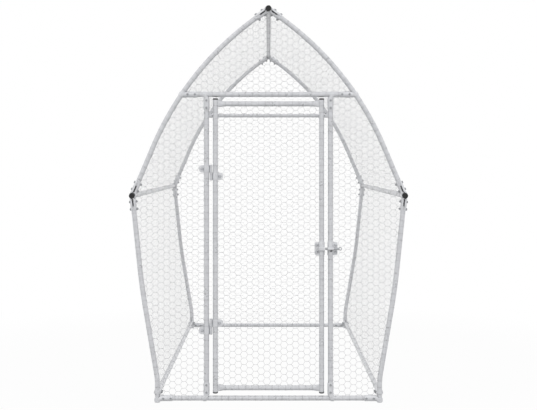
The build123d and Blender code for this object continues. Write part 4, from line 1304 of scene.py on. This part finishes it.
# Studio: a plain white floor that runs to the horizon, a white surround and two large softboxes in
# front. The camera, and what shines in the metal, see white. The floor keeps a faint shadow.
FLOOR_REACH = 40
FLOOR_COLOUR = "#404040"
FLOOR_ROUGHNESS = 0.9
FLOOR_WHITENESS = 0.98
SHADOW_REACH = 2.2
WHITE = linear("#ffffff")
floor_mesh = bpy.data.meshes.new("floor")
floor_corners = [(-1, -1, 0), (1, -1, 0), (1, 1, 0), (-1, 1, 0)]
floor_mesh.from_pydata([Vector(p) * FLOOR_REACH for p in floor_corners], [], [range(4)])

# Paper that seems evenly white to the camera and in the metal. Near the run it lets a little of
# its own grey through, which takes the shadow.
floor_finish, tree, shader, place_on = new_material("white_paper_floor")
connect(tree, shader, {"Base Color": linear(FLOOR_COLOUR), "Roughness": FLOOR_ROUGHNESS})
rays = add_node(tree, "ShaderNodeLightPath").outputs
seen = rays["Is Camera Ray"]
for kind in ("Is Glossy Ray", "Is Transmission Ray"):
    seen = add_node(tree, MATHS, {0: seen, 1: rays[kind]}, operation="MAXIMUM")
apart = add_node(tree, VECTOR_MATHS, {0: place_on}, operation="LENGTH").outputs["Value"]
fading = {"Value": apart, "From Min": SHADOW_REACH / 2, "From Max": SHADOW_REACH}
fading = {**fading, "To Min": FLOOR_WHITENESS, "To Max": 1}
whiteness = add_node(tree, "ShaderNodeMapRange", fading, interpolation_type="SMOOTHSTEP")
share = add_node(tree, MATHS, {0: seen, 1: whiteness}, operation="MULTIPLY")
paper = add_node(tree, "ShaderNodeEmission", {"Color": WHITE, "Strength": 1})
mixed = add_node(tree, "ShaderNodeMixShader", {0: share, 1: shader, 2: paper})
connect(tree, tree.nodes["Material Output"], {"Surface": mixed})
floor_mesh.materials.append(floor_finish)
helper("floor", floor_mesh)

world = bpy.data.worlds.new("studio")
bpy.context.scene.world = world
world.use_nodes = True
tree = world.node_tree
bright = add_node(tree, "ShaderNodeBackground", {"Color": WHITE, "Strength": 1})
connect(tree, tree.nodes["World Output"], {"Surface": bright})

# Neither is sampled as a lamp, because then the metal would mirror less than white.
floor_finish.cycles.emission_sampling = "NONE"
world.cycles.sampling_method = "NONE"

# The softboxes are kept out of reflections, so that the tubes mirror only the white surround.
AIM = Vector((0, 0, 0.75))
LAMP_REACH = 9.0
LAMP_HEIGHT = 6.0
LAMP_WIDTH = 12.0
LAMP_POWER = 410
LAMPS = {"front_left": radians(-42), "front_right": radians(42)}
for name, turn in LAMPS.items():
    lamp = bpy.data.lights.new(f"{name}_softbox", "AREA")
    lamp.size = LAMP_WIDTH
    lamp.energy = LAMP_POWER
    lamp_object = helper(lamp.name, lamp)
    lamp_object.visible_glossy = False
    lamp_object.location = (LAMP_REACH * sin(turn), -LAMP_REACH * cos(turn), LAMP_HEIGHT)
    lamp_way = AIM - lamp_object.location
    lamp_object.rotation_euler = lamp_way.to_track_quat("-Z", "Y").to_euler()

# Camera: level and straight in front of the door, at chest height, on a long lens.
# The frame is shifted down, not tilted, so that uprights stay upright.
CAMERA_DISTANCE = 4.344
CAMERA_HEIGHT = 0.906
CAMERA_SENSOR = 36
CAMERA_LENS = 76.93
CAMERA_SHIFT = -0.0784
camera_data = bpy.data.cameras.new("camera")
camera_data.sensor_width = CAMERA_SENSOR
camera_data.lens = CAMERA_LENS
camera_data.shift_y = CAMERA_SHIFT
camera = helper("camera", camera_data)
camera.location = (0, -HOOP_Y - CAMERA_DISTANCE, CAMERA_HEIGHT)
camera.rotation_euler = (pi / 2, 0, 0)
bpy.context.scene.camera = camera
bpy.context.scene.view_settings.view_transform = "Standard"
